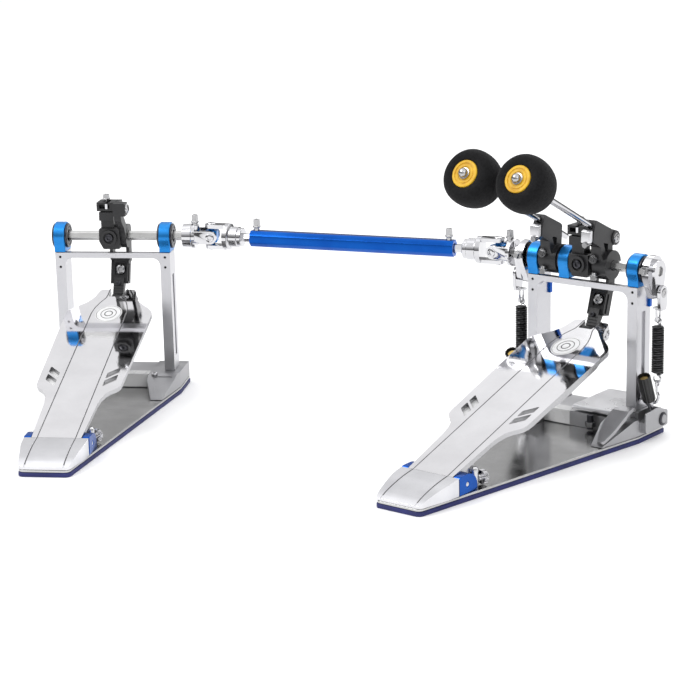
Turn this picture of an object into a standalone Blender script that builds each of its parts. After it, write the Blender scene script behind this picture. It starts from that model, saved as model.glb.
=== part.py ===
"""Double bass drum pedal: two foot pedals joined by a drive shaft with a universal joint at each end.

Metres, +Z up. The origin is on the floor under the middle of the main pedal's axle. +Y points at the
drum and +X to the player's right. Each pedal is drawn in its own coordinates: X along its axle,
Y from heel to toe, Z up, with the origin on the floor under its axle. The slave pedal stands to the
left of the main one, turned towards the player.
"""

import math

import bmesh
import bpy
from mathutils import Matrix, Vector

# ---- driving dimensions -------------------------------------------------------------------------
GAP = 0.0003                      # clearance between pieces that touch
SLAVE_ORIGIN = (-0.5063, -0.1551, 0.0)
SLAVE_TURN = math.radians(30.95)

AXLE_Z = 0.172                    # height of the axles
AXLE_FLATS = 0.0092               # hexagonal axle, across flats
AXLE_TWIST = math.radians(14)
POST_X = 0.058                    # middle of a post from the middle of the pedal
POST_WIDE = 0.011
POST_DEEP = 0.0255
POST_TOP = 0.1553
CROSSBAR_LOW = 0.1495
CROSSBAR_BACK = -0.0052

PAD_TOP = 0.0042                  # rubber pad, steel plate and cast bridge, from the floor up
PLATE_TOP = 0.0070
BAR_TOP = 0.0222
CASTING_TOP = 0.0240
HEEL_Y = -0.3220                  # outline of the base
HEEL_HALF = 0.0262
SIDE_Y = -0.0180
SIDE_HALF = 0.0714
BACK_Y = 0.0320

SEAM_Y = -0.2710                  # joint line between the heel plate and the footboard
SEAM_Z = 0.0243
SLOPE = math.radians(17)          # footboard at rest
BOARD_THICK = 0.0046
HINGE_Y = -0.2580                 # hinge pins at the heel
HINGE_Z = 0.0155
PIN_R = 0.0028
TOE_Y = 0.0030                    # toe pin, which carries the link
TOE_Z = 0.1005
LINK_REACH = 0.0270               # upper pivot of the link, straight behind the axle

HOUSING_HALF = 0.0060
HOUSING_R = 0.0150
CENTRE_HOUSING_X = -0.0213
BEARING_HALF = 0.0082
BEARING_R = 0.0132
BORE_R = 0.0111
HUB_R = 0.0150

ROD_LEAN = math.radians(63.2)     # beater rods at rest, leaning back from upright
ROD_OFFSET = 0.0262               # rod's axis from the axle's axis
ROD_R = 0.0032
RIGHT_ROD_X = 0.0190
LEFT_ROD_X = -0.0405
HEAD_TIP = 0.1885                 # front of the beater head along the rod
HEAD_LENGTH = 0.0390
HEAD_R = 0.0276
DISC_R = 0.0142

ROCKER_PIN = 0.0210               # spring rocker, pin below the axle
SPRING_X = 0.0800
SPRING_R = 0.0068
SPRING_TOP = 0.1170
SPRING_LOW = 0.0675
HOOK_LOW = 0.0560
ADJUSTER_X = 0.0712
ADJUSTER_Y = 0.0080
ADJUSTER_Z = 0.0220
KNOB_R = 0.0068
RIGHT_KNOB_LEAN = math.radians(23)
LEFT_KNOB_LEAN = math.radians(36.5)
LEFT_KNOB_REACH = 0.0190            # the left knob sits further out along its longer stem

JOINT_X = 0.1080                  # centre of a universal joint from the middle of the pedal
FORK_IN = 0.0092                  # fork arms, inner and outer faces from the joint's centre
FORK_OUT = 0.0132
FORK_HALF = 0.0070
FORK_DEEP = 0.0170                # from the joint's centre to the bottom of the fork
CROSS_PIN_R = 0.0031
TUBE_END = 0.0470                 # end of the drive tube from the joint's centre
TUBE_HALF = 0.0085
TUBE_CHAMFER = 0.0045
SHAFT_FLATS = 0.0080

# ---- colours: red, green, blue, roughness, metallic ---------------------------------------------
FINISHES = {
    "polished_aluminium": (0.86, 0.86, 0.88, 0.12, 1.0),
    "satin_aluminium": (0.74, 0.74, 0.76, 0.38, 1.0),
    "cast_aluminium": (0.60, 0.60, 0.61, 0.50, 1.0),
    "steel_plate": (0.55, 0.55, 0.54, 0.25, 1.0),
    "chrome": (0.80, 0.80, 0.82, 0.10, 1.0),
    "blue_anodised": (0.01, 0.18, 0.75, 0.25, 1.0),
    "blue_rubber": (0.03, 0.04, 0.22, 0.60, 0.0),
    "black_metal": (0.03, 0.03, 0.035, 0.40, 0.6),
    "dark_steel": (0.09, 0.09, 0.10, 0.35, 0.9),
    "black_rubber": (0.02, 0.02, 0.02, 0.70, 0.0),
    "black_felt": (0.015, 0.015, 0.017, 0.95, 0.0),
    "yellow_disc": (0.85, 0.52, 0.06, 0.40, 0.0),
    "spring_steel": (0.03, 0.03, 0.03, 0.30, 0.8),
}

# Drawing planes: an outline's x and y become the named axes, and its thickness runs along the third.
YZ = Matrix(((0, 0, 1), (1, 0, 0), (0, 1, 0))).to_4x4()
XZ = Matrix(((1, 0, 0), (0, 0, -1), (0, 1, 0))).to_4x4()
XY = Matrix.Identity(4)


# ---- scene, collections and materials -----------------------------------------------------------
for old in list(bpy.data.objects):
    bpy.data.objects.remove(old, do_unlink=True)
parts = bpy.data.collections.new("double_bass_drum_pedal")
cutters = bpy.data.collections.new("cutters")
bpy.context.scene.collection.children.link(parts)
bpy.context.scene.collection.children.link(cutters)


def material(finish, name):
    """A Principled material of the part's own, in one of the finishes above."""
    red, green, blue, roughness, metallic = FINISHES[finish]
    made = bpy.data.materials.new(name)
    made.use_nodes = True
    shader = made.node_tree.nodes["Principled BSDF"]
    shader.inputs["Base Color"].default_value = (red, green, blue, 1.0)
    shader.inputs["Roughness"].default_value = roughness
    shader.inputs["Metallic"].default_value = metallic
    made.diffuse_color = (red, green, blue, 1.0)
    return made


class Place:
    """An empty, and the pedal coordinates of where it stands. Pieces are given in those coordinates."""

    def __init__(self, name, parent=None, at=(0, 0, 0), matrix=None):
        self.at = Vector(at)
        self.empty = bpy.data.objects.new(name, None)
        parts.objects.link(self.empty)
        if parent is not None:
            self.empty.parent = parent.empty
            self.empty.matrix_local = Matrix.Translation(self.at - parent.at)
        if matrix is not None:
            self.empty.matrix_local = matrix

    def put(self, obj, matrix):
        obj.parent = self.empty
        obj.matrix_local = Matrix.Translation(-self.at) @ matrix


def add(name, mesh, place, matrix=XY):
    obj = bpy.data.objects.new(name, mesh)
    parts.objects.link(obj)
    place.put(obj, matrix)
    return obj


# ---- basic shapes -------------------------------------------------------------------------------
def box(name, place, low, high):
    low, high = Vector(low), Vector(high)
    mesh = bpy.data.meshes.new(name)
    shape = bmesh.new()
    bmesh.ops.create_cube(shape, size=1.0, matrix=Matrix.Diagonal((*(high - low), 1.0)))
    shape.to_mesh(mesh)
    shape.free()
    return add(name, mesh, place, Matrix.Translation((low + high) / 2))


def rod(name, place, start, end, radius, end_radius=None, sides=20, twist=0.0):
    """A cylinder, cone or prism between two points. Its radius is to the corners of its section."""
    start, end = Vector(start), Vector(end)
    along = end - start
    mesh = bpy.data.meshes.new(name)
    shape = bmesh.new()
    bmesh.ops.create_cone(shape, cap_ends=True, segments=sides, radius1=radius,
                          radius2=radius if end_radius is None else end_radius,
                          depth=along.length)
    shape.to_mesh(mesh)
    shape.free()
    mesh.shade_smooth()
    mesh.set_sharp_from_angle(angle=math.radians(35))
    turn = along.to_track_quat("Z", "Y").to_matrix().to_4x4()
    return add(name, mesh, place,
               Matrix.Translation((start + end) / 2) @ turn @ Matrix.Rotation(twist, 4, "Z"))


def hexagon(name, place, start, end, flats, twist=AXLE_TWIST):
    return rod(name, place, start, end, flats / math.sqrt(3), sides=6, twist=twist)


def settled_mesh(obj):
    """The object's evaluated shape as a welded mesh; the object itself is removed."""
    bpy.context.view_layer.update()
    graph = bpy.context.evaluated_depsgraph_get()
    mesh = bpy.data.meshes.new_from_object(obj.evaluated_get(graph))
    bpy.data.objects.remove(obj, do_unlink=True)
    shape = bmesh.new()
    shape.from_mesh(mesh)
    bmesh.ops.remove_doubles(shape, verts=shape.verts, dist=0.000002)
    bmesh.ops.recalc_face_normals(shape, faces=shape.faces)
    shape.to_mesh(mesh)
    shape.free()
    return mesh


def slab(name, place, plane, outline, low, high, matrix=XY):
    """A flat outline in one of the drawing planes, filled between two distances along its normal."""
    curve = bpy.data.curves.new(name, "CURVE")
    curve.dimensions = "2D"
    curve.fill_mode = "BOTH"
    curve.extrude = abs(high - low) / 2
    spline = curve.splines.new("POLY")
    spline.points.add(len(outline) - 1)
    for point, (x, y) in zip(spline.points, outline):
        point.co = (x, y, 0, 1)
    spline.use_cyclic_u = True
    flat = bpy.data.objects.new(name, curve)
    parts.objects.link(flat)
    mesh = settled_mesh(flat)
    bpy.data.curves.remove(curve)
    middle = (low + high) / 2
    if plane is XZ:
        middle = -middle
    return add(name, mesh, place, matrix @ plane @ Matrix.Translation((0, 0, middle)))


def turned(name, place, start, towards, profile, sides=24):
    """A closed profile of (radius, distance) points, turned about the line from start."""
    mesh = bpy.data.meshes.new(name)
    shape = bmesh.new()
    corners = [shape.verts.new((radius, 0, distance)) for radius, distance in profile]
    for one, other in zip(corners, corners[1:] + corners[:1]):
        if not one.co.x == other.co.x == 0:
            shape.edges.new((one, other))
    shape.to_mesh(mesh)
    shape.free()
    loose = bpy.data.objects.new(name, mesh)
    parts.objects.link(loose)
    screw = loose.modifiers.new("turn", "SCREW")
    screw.steps = sides
    screw.render_steps = sides
    screw.use_merge_vertices = True
    screw.merge_threshold = 0.00001
    solid = settled_mesh(loose)
    solid.shade_smooth()
    solid.set_sharp_from_angle(angle=math.radians(35))
    turn = Vector(towards).to_track_quat("Z", "Y").to_matrix().to_4x4()
    return add(name, solid, place, Matrix.Translation(start) @ turn)


def arc(centre, radius, first, last, steps):
    """Points along an arc, in degrees."""
    angles = [math.radians(first + (last - first) * i / steps) for i in range(steps + 1)]
    return [(centre[0] + radius * math.cos(a), centre[1] + radius * math.sin(a)) for a in angles]


def mirrored(half):
    """A symmetrical outline from its right half."""
    return half + [(-x, y) for x, y in reversed(half)]


def combine(obj, others, operation):
    for other in others:
        change = obj.modifiers.new(operation.lower(), "BOOLEAN")
        change.operation = operation
        change.solver = "EXACT"
        change.object = other
        parts.objects.unlink(other)
        cutters.objects.link(other)
        other.hide_render = True
        other.display_type = "WIRE"
    return obj


def join(obj, *others):
    return combine(obj, others, "UNION")


def cut(obj, *others):
    return combine(obj, others, "DIFFERENCE")


def finish(obj, kind, name=None, bevel=0.0):
    if name is not None:
        obj.name = name
    if bevel:
        edge = obj.modifiers.new("edges", "BEVEL")
        edge.width = bevel
        edge.segments = 1
        edge.limit_method = "ANGLE"
        edge.angle_limit = math.radians(50)
    obj.data.materials.clear()
    obj.data.materials.append(material(kind, obj.name))
    return obj


# ---- base of a pedal ----------------------------------------------------------------------------
def base_outline(inset=0.0):
    """The base seen from above: narrow rounded heel, flared sides, square back."""
    half = arc((HEEL_HALF - 0.006 - inset, HEEL_Y + 0.006 + inset), 0.006, -90, -10, 3)
    half += [(SIDE_HALF - inset, SIDE_Y), (SIDE_HALF - inset, BACK_Y - inset)]
    return mirrored(half)


def wing_wall(name, place, side):
    """The bridge's shoulder on one side: level by the post, sloping down towards the heel."""
    slope = [(-0.0740, PLATE_TOP + GAP), (-0.0700, 0.0090), (-0.0240, CASTING_TOP),
             (BACK_Y - 0.001, CASTING_TOP), (BACK_Y - 0.001, PLATE_TOP + GAP)]
    shoulder = slab(name, place, YZ, slope, side * 0.0375, side * (SIDE_HALF + 0.004))
    plan = [(side * x, y) for x, y in ((0.0370, 0.040), (0.0370, -0.034), (0.0500, -0.0760),
                                      (0.0610, -0.0760), (SIDE_HALF - 0.001, SIDE_Y),
                                      (SIDE_HALF - 0.001, 0.040))]
    limit = slab(name + "_plan", place, XY, plan, 0.0, 0.040)
    return combine(shoulder, [limit], "INTERSECT")


def make_base(pedal, side):
    pad = slab(pedal + "_base_pad", side, XY, base_outline(), 0.0, PAD_TOP)
    finish(pad, "blue_rubber")
    plate = slab(pedal + "_base_plate", side, XY, base_outline(0.0006), PAD_TOP + GAP, PLATE_TOP)
    finish(plate, "steel_plate")

    bridge = box(pedal + "_base_bridge", side, (-0.045, -0.0213, PLATE_TOP + GAP),
                 (0.045, BACK_Y - 0.001, BAR_TOP))
    join(bridge, wing_wall("shoulder_right", side, 1), wing_wall("shoulder_left", side, -1))
    if pedal == "main":
        for sign in (-1, 1):
            tower = slab("tower", side, YZ,
                         [(-0.0150, 0.0100), (-0.0150, 0.0280), (-0.0120, 0.0310),
                          (0.0140, 0.0310), (0.0190, 0.0260), (0.0280, 0.0260), (0.0280, 0.0100)],
                         sign * 0.0640, sign * 0.0765)
            slot = box("slot", side, (sign * ADJUSTER_X - 0.0038, -0.0170, 0.0210),
                       (sign * ADJUSTER_X + 0.0038, 0.0125, 0.0400))
            join(bridge, tower)
            cut(bridge, slot)
        tongue = box("hoop_rest", side, (-0.0200, BACK_Y - 0.004, PLATE_TOP + GAP),
                     (0.0400, 0.0580, 0.0110))
        join(bridge, tongue)
    finish(bridge, "cast_aluminium")

    profile = [(HEEL_Y + 0.0008, PLATE_TOP + GAP), (HEEL_Y + 0.0008, 0.0098), (-0.3130, 0.0138),
               (-0.3010, 0.0178), (-0.2870, 0.0215), (SEAM_Y - GAP / 2, SEAM_Z),
               (SEAM_Y - GAP / 2, PLATE_TOP + GAP)]
    heel = slab(pedal + "_heel_plate", side, YZ, profile, -0.040, 0.040)
    plan = mirrored([(0.0235, -0.330), (0.0255, HEEL_Y + 0.004), (0.0315, -0.2860),
                     (0.0330, -0.2600)])
    combine(heel, [slab("heel_plan", side, XY, plan, 0.0, 0.040)], "INTERSECT")
    finish(heel, "satin_aluminium", bevel=0.0010)

    for sign, hand in ((-1, "left"), (1, "right")):
        outline = [(SEAM_Y + GAP, PLATE_TOP + GAP), (SEAM_Y + GAP, 0.0225), (-0.2680, 0.0250)]
        outline += arc((-0.2570, 0.0110), 0.0142, 95, 5, 6)
        outline += [(-0.2428, PLATE_TOP + GAP)]
        block = slab(pedal + "_hinge_block_" + hand, side, YZ, outline,
                     sign * 0.0258, sign * 0.0330)
        join(block, rod("stub", side, (sign * 0.0262, HINGE_Y, HINGE_Z),
                        (sign * 0.0130, HINGE_Y, HINGE_Z), PIN_R, sides=12))
        finish(block, "blue_anodised")


# ---- frame, housings and bearings ---------------------------------------------------------------
def make_frame(pedal, side):
    inner = POST_X - POST_WIDE / 2
    outer = POST_X + POST_WIDE / 2
    front = -POST_DEEP / 2
    frame = box(pedal + "_frame", side, (inner, front, CASTING_TOP + GAP), (outer, -front, POST_TOP))
    left = box("left_post", side, (-outer, front, CASTING_TOP + GAP), (-inner, -front, POST_TOP))
    fillet = 0.0085
    half = arc((inner - fillet, CROSSBAR_LOW - fillet), fillet, 90, 0, 5)
    half += [(inner + 0.003, CROSSBAR_LOW - fillet), (inner + 0.003, POST_TOP)]
    bar = slab("crossbar", side, XZ, mirrored(half), front, CROSSBAR_BACK)
    join(frame, bar, left)
    for sign in (-1, 1):
        for height in (0.1395, 0.1505):
            cut(frame, rod("hole", side, (sign * POST_X, front - 0.001, height),
                           (sign * POST_X, front + 0.003, height), 0.0013, sides=8))
        # a shallow channel down each post's outer face
        cut(frame, box("channel", side, (sign * (outer + 0.001) - 0.003, -0.0035, 0.040),
                       (sign * (outer + 0.001) + 0.003, 0.0035, 0.130)))
    finish(frame, "satin_aluminium")


def make_housing(pedal, side, hand, x):
    """A blue bearing housing on top of the frame, and the bearing in it."""
    low = POST_TOP + GAP
    outline = [(-0.0126, low), (0.0126, low), (0.0126, 0.1605)]
    outline += arc((0, AXLE_Z), HOUSING_R, -25, 205, 12)
    outline += [(-0.0126, 0.1605)]
    housing = slab(pedal + "_housing_" + hand, side, YZ, outline, x - HOUSING_HALF, x + HOUSING_HALF)
    cut(housing, rod("housing_bore", side, (x - 0.02, 0, AXLE_Z), (x + 0.02, 0, AXLE_Z),
                     BORE_R + GAP, sides=20))
    finish(housing, "blue_anodised")
    step = HOUSING_HALF + GAP
    ring = [(BEARING_R, -BEARING_HALF), (BEARING_R, -step), (BORE_R - 0.0003, -step),
            (BORE_R - 0.0003, step), (BEARING_R, step), (BEARING_R, BEARING_HALF),
            (0.0064, BEARING_HALF), (0.0064, -BEARING_HALF)]
    bearing = turned(pedal + "_bearing_" + hand, side, (x, 0, AXLE_Z), (1, 0, 0), ring, sides=20)
    finish(bearing, "dark_steel")


# ---- footboard and link -------------------------------------------------------------------------
def make_footboard(pedal, side):
    hinge = Place(pedal + "_heel_hinge", side, (0, HINGE_Y, HINGE_Z))
    stretch = 1 / math.cos(SLOPE)
    half = [(0.0250, SEAM_Y + GAP / 2), (0.0268, -0.2250)]
    half += [(0.0275, -0.2100), (0.0300, -0.1985), (0.0350, -0.1895), (0.0420, -0.1825)]
    half += [(0.0440, -0.1785), (0.0474, -0.0410), (0.0462, -0.0365), (0.0425, -0.0310)]
    half += [(0.0350, -0.0245), (0.0280, -0.0175), (0.0232, -0.0090), (0.0212, 0.0000)]
    half += [(0.0200, 0.0062), (0.0175, 0.0085), (0.0082, 0.0085), (0.0080, -0.0060)]
    outline = mirrored([(x, (y - SEAM_Y) * stretch) for x, y in half])
    tilt = Matrix.Translation((0, SEAM_Y, SEAM_Z)) @ Matrix.Rotation(SLOPE, 4, "X")
    board = slab(pedal + "_footboard", hinge, XY, outline, -BOARD_THICK, 0.0, matrix=tilt)

    def surface(y, depth=0.0):
        """Height of a point of the board's upper face, or below it, at rest."""
        return SEAM_Z + (y - SEAM_Y) * math.tan(SLOPE) - depth

    for sign in (-1, 1):
        # side skirt under the wing
        skirt = [(-0.1750, surface(-0.1750, 0.0085)), (-0.0450, surface(-0.0450, 0.0105)),
                 (-0.0450, surface(-0.0450, 0.003)), (-0.1750, surface(-0.1750, 0.003))]
        join(board, slab("skirt", hinge, YZ, skirt, sign * 0.0405, sign * 0.0430))
        # ear that carries the toe pin
        ear = [(-0.0300, surface(-0.0300, 0.0035)), (-0.0300, surface(-0.0300, 0.0065))]
        ear += arc((TOE_Y, TOE_Z), 0.0072, 240, 370, 6)
        ear += [(0.0070, surface(0.0070, 0.0020)), (0.0050, surface(0.0050, 0.0030))]
        join(board, slab("ear", hinge, YZ, ear, sign * 0.0086, sign * 0.0196))
        # two windows with a rib between them, in each wing
        for near, far in ((0.0, 0.42), (0.55, 1.0)):
            window = []
            for x, share in ((0.0370, near), (0.0370, far), (0.0250, far), (0.0250, near)):
                y = -0.1450 - 0.0245 * share - (0.0370 - x) * 0.95
                window.append((sign * x, (y - SEAM_Y) * stretch))
            cut(board, slab("window", hinge, XY, window, -0.02, 0.02, matrix=tilt))
        # groove beside the tread
        groove = [(sign * 0.0187, -0.004), (sign * 0.0199, -0.004), (sign * 0.0199, 0.2718),
                  (sign * 0.0187, 0.2718)]
        cut(board, slab("groove", hinge, XY, groove, -0.0005, 0.005, matrix=tilt))

    web = [(HINGE_Y - 0.0085, surface(HINGE_Y - 0.0085, 0.003)),
           (HINGE_Y + 0.0300, surface(HINGE_Y + 0.0300, 0.003)),
           (HINGE_Y + 0.0060, HINGE_Z - 0.0020), (HINGE_Y - 0.0060, HINGE_Z - 0.0020)]
    join(board, slab("hinge_web", hinge, YZ, web, -0.0240, 0.0240))
    join(board, rod("barrel", hinge, (-0.0244, HINGE_Y, HINGE_Z), (0.0244, HINGE_Y, HINGE_Z), 0.0062))
    cut(board, rod("pin_bore", hinge, (-0.03, HINGE_Y, HINGE_Z), (0.03, HINGE_Y, HINGE_Z),
                   PIN_R + 0.0004, sides=12))
    join(board, rod("toe_pin", hinge, (-0.0100, TOE_Y, TOE_Z), (0.0100, TOE_Y, TOE_Z), PIN_R, sides=12))
    finish(board, "polished_aluminium")
    return hinge


def make_link(pedal, hinge):
    """The direct-drive link: a bar from the toe pin, a block behind it, and a fork up to the cam."""
    toe = Place(pedal + "_link_pivot", hinge, (0, TOE_Y, TOE_Z))
    rise = AXLE_Z - TOE_Z
    length = math.hypot(LINK_REACH - TOE_Y, rise)
    lean = Matrix.Translation((0, TOE_Y, TOE_Z)) @ Matrix.Rotation(
        -math.atan2(LINK_REACH - TOE_Y, rise), 4, "X")
    profile = [(0.0046, 0.0174), (0.0156, 0.0190), (0.0156, 0.0480), (0.0046, 0.0480)]
    link = slab(pedal + "_link", toe, YZ, profile, -0.0098, 0.0098, matrix=lean)
    for sign in (-1, 1):
        cheek = [(0.0050, 0.0440), (0.0152, 0.0440)] + arc((0, length), 0.0078, 0, 195, 10)
        join(link, slab("cheek", toe, YZ, cheek, sign * 0.0074, sign * 0.0110, matrix=lean))
    bar = [(-0.0006, 0.0030), (0.0048, 0.0020), (0.0110, 0.0185), (0.0110, 0.0240), (0.0020, 0.0240)]
    join(link, slab("bar", toe, YZ, bar, -0.0058, 0.0058, matrix=lean))
    join(link, rod("eye", toe, (-0.0058, TOE_Y, TOE_Z), (0.0058, TOE_Y, TOE_Z), 0.0056))
    cut(link, rod("eye_bore", toe, (-0.02, TOE_Y, TOE_Z), (0.02, TOE_Y, TOE_Z), PIN_R + 0.0003, sides=12))
    finish(link, "black_metal")


# ---- axles, cams and beater holders -------------------------------------------------------------
def make_axle(name, spin, start, end):
    finish(hexagon(name, spin, (start, 0, AXLE_Z), (end, 0, AXLE_Z), AXLE_FLATS), "chrome")


def axle_bore(spin, start, end):
    low, high = min(start, end), max(start, end)
    return hexagon("axle_bore", spin, (low, 0, AXLE_Z), (high, 0, AXLE_Z), AXLE_FLATS + 2 * GAP)


def cam_body(name, spin):
    """The drive cam: a block in front of the axle with a clamp on a neck above, and a tongue behind."""
    block = [(-0.0078, 0.1605), (0.0100, 0.1605), (0.0106, 0.1700), (0.0100, 0.1830),
             (-0.0120, 0.1830), (-0.0124, 0.1690)]
    cam = slab(name, spin, XZ, block, -0.0180, -0.0020)
    tongue = arc((0, AXLE_Z), 0.0142, 100, 260, 8)
    tongue += arc((LINK_REACH, AXLE_Z), 0.0068, -80, 80, 6)
    join(cam, slab("tongue", spin, YZ, tongue, -0.0068, 0.0068),
         box("neck", spin, (-0.0100, -0.0150, 0.1800), (0.0040, -0.0040, 0.2050)),
         box("collar", spin, (-0.0106, -0.0200, 0.1920), (0.0052, -0.0030, 0.2010)),
         box("clamp", spin, (-0.0130, -0.0190, 0.2022), (0.0108, 0.0010, 0.2116)),
         rod("boss", spin, (-0.0010, -0.0170, 0.1730), (-0.0010, -0.0208, 0.1730), 0.0086))
    return cut(cam, box("window", spin, (-0.0102, -0.0250, 0.2050), (0.0010, -0.0130, 0.2094)))


def rod_axis(along, x):
    """A point of a beater rod's axis, measured along it from abreast of the axle."""
    back = math.cos(ROD_LEAN)
    up = math.sin(ROD_LEAN)
    return (x, -up * along + back * ROD_OFFSET, AXLE_Z + back * along + up * ROD_OFFSET)


def make_holder(name, spin, x, hub_low, hub_high, lobed):
    """The clamp of a beater rod: a block across the rod, a leg down to its hub, and at the right
    a round lobe at the back for the cross screw."""
    half = 0.0057
    if lobed:
        back = arc((0.0098, 0.1978), 0.0074, 80, -60, 6) + [(0.0048, 0.1907)]
    else:
        back = [(0.0056, 0.2058), (0.0062, 0.2040)]
    outline = [(-0.0259, 0.2208), (0.0033, 0.2075)] + back
    outline += [(0.0050, 0.1860), (0.0110, 0.1800), (0.0110, 0.1740), (-0.0110, 0.1740),
                (-0.0166, 0.1850), (-0.0173, 0.1923), (-0.0318, 0.1998), (-0.0309, 0.2084)]
    holder = slab(name, spin, YZ, outline, x - half, x + half)
    cut(holder, rod("rod_bore", spin, rod_axis(-0.020, x), rod_axis(0.080, x), ROD_R + GAP, sides=16),
        slab("window", spin, YZ, [(-0.0127, 0.1965), (-0.0087, 0.1872), (-0.0046, 0.1857),
                                  (-0.0038, 0.1939)], x - 0.02, x + 0.02))
    join(holder, rod("hub", spin, (hub_low, 0, AXLE_Z), (hub_high, 0, AXLE_Z), HUB_R, sides=24))
    cut(holder, axle_bore(spin, hub_low - 0.01, hub_high + 0.01))
    finish(holder, "black_metal")


def make_beater(hand, spin, x):
    shaft = rod(hand + "_beater_rod", spin, rod_axis(-0.012, x), rod_axis(HEAD_TIP - 0.006, x),
                ROD_R, sides=16)
    finish(shaft, "chrome")
    tip = Vector(rod_axis(HEAD_TIP, x))
    back = Vector(rod_axis(0.0, x)) - tip
    bore = ROD_R + GAP
    felt = [(bore, 0.0045), (DISC_R + 0.0008, 0.0045), (DISC_R + 0.0008, 0.0010), (0.0210, 0.0005),
            (0.0245, 0.0030), (0.0266, 0.0070), (0.0275, 0.0120), (HEAD_R, 0.0170), (0.0270, 0.0230),
            (0.0258, 0.0280), (0.0238, 0.0330), (0.0205, 0.0380), (0.0180, HEAD_LENGTH),
            (bore, HEAD_LENGTH)]
    head = turned(hand + "_beater_head", spin, tip, back, felt, sides=28)
    finish(head, "black_felt")
    disc = [(0.0, 0.0), (DISC_R, 0.0), (DISC_R, 0.0042), (0.0, 0.0042)]
    cap = turned(hand + "_beater_disc", spin, tip, back, disc, sides=28)
    finish(cap, "yellow_disc")


# ---- return springs -----------------------------------------------------------------------------
def make_rocker(hand, spin, sign):
    """The spring rocker on the axle's end: a pear-shaped hub and an outer arm with the spring pin."""
    pear = arc((0, AXLE_Z), 0.0150, -25, 205, 12) + arc((0, AXLE_Z - ROCKER_PIN - 0.004), 0.0035, 200, 340, 4)
    rocker = slab(hand + "_spring_rocker", spin, YZ, pear, sign * 0.0690, sign * 0.0765)
    arm = arc((0, AXLE_Z), 0.0110, -15, 195, 8) + arc((0, AXLE_Z - ROCKER_PIN), 0.0066, 195, 345, 6)
    join(rocker, slab("arm", spin, YZ, arm, sign * 0.0760, sign * 0.0815))
    cut(rocker, axle_bore(spin, sign * 0.06, sign * 0.09))
    finish(rocker, "chrome")


def make_spring(hand, side, sign):
    """The spring hooks on the anchor below, and lengthens as the stirrup above it rises."""
    swing = Place(hand + "_spring_swing", side, (sign * SPRING_X, 0, HOOK_LOW))
    x = sign * SPRING_X
    coil = rod(hand + "_spring", swing, (x, 0, SPRING_LOW), (x, 0, SPRING_TOP), SPRING_R, sides=16)
    join(coil, rod("hook", swing, (x, 0, HOOK_LOW + 0.0030), (x, 0, SPRING_TOP + 0.003), 0.0012, sides=8))
    finish(coil, "spring_steel")
    top = AXLE_Z - ROCKER_PIN
    slide = Place(hand + "_stirrup_slide", swing, (x, 0, top))
    outline = arc((0, top), 0.0074, 0, 180, 10) + [(-0.0060, 0.1335), (0.0060, 0.1335)]
    stirrup = slab(hand + "_spring_stirrup", slide, YZ, outline, sign * 0.0825, sign * 0.0861)
    join(stirrup, box("foot", slide, (min(sign * 0.0745, sign * 0.0860), -0.0050, 0.1335),
                      (max(sign * 0.0745, sign * 0.0860), 0.0050, 0.1375)),
         rod("eye", slide, (x, 0, 0.1355), (x, 0, SPRING_TOP + 0.0036), 0.0013, sides=8))
    finish(stirrup, "chrome")


def make_adjuster(hand, side, sign, lean, reach):
    """The tension adjuster: a tapered stem in the tower's slot, the spring's anchor, and the knob."""
    x = sign * ADJUSTER_X
    foot = Vector((x, ADJUSTER_Y, ADJUSTER_Z))
    up = Vector((0, -math.sin(lean), math.cos(lean)))
    tip = foot + up * reach
    stem = rod(hand + "_spring_anchor", side, foot + up * 0.0030, tip + up * 0.0160, 0.0018, 0.0034)
    join(stem, rod("collar", side, tip + up * 0.0150, tip + up * 0.0200, 0.0034, 0.0056),
         rod("thread", side, tip + up * 0.0195, tip + up * 0.0420, 0.0030, sides=12))
    level = foot + up * 0.0185
    outer = Vector((sign * SPRING_X, 0, HOOK_LOW - 0.0060))
    corner = Vector((sign * (SPRING_X + 0.0015), level.y, level.z))
    join(stem, rod("arm", side, level, corner, 0.0016, sides=8),
         rod("riser", side, corner + (corner - outer) * 0.05, outer, 0.0016, sides=8),
         rod("hook_eye", side, outer - Vector((0, 0, 0.0010)), outer + Vector((0, 0, 0.0060)), 0.0022, sides=8))
    finish(stem, "chrome")

    turn = Place(hand + "_knob_turn", side, tip + up * 0.0360)
    cup = [(0.0034, 0.0), (KNOB_R - 0.0008, 0.0), (KNOB_R, 0.0010), (KNOB_R, 0.0285),
           (KNOB_R - 0.0006, 0.0300), (0.0056, 0.0300), (0.0056, 0.0245), (0.0034, 0.0245)]
    knob = turned(hand + "_spring_knob", turn, tip + up * 0.0205, up, cup, sides=20)
    finish(knob, "black_rubber")


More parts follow.
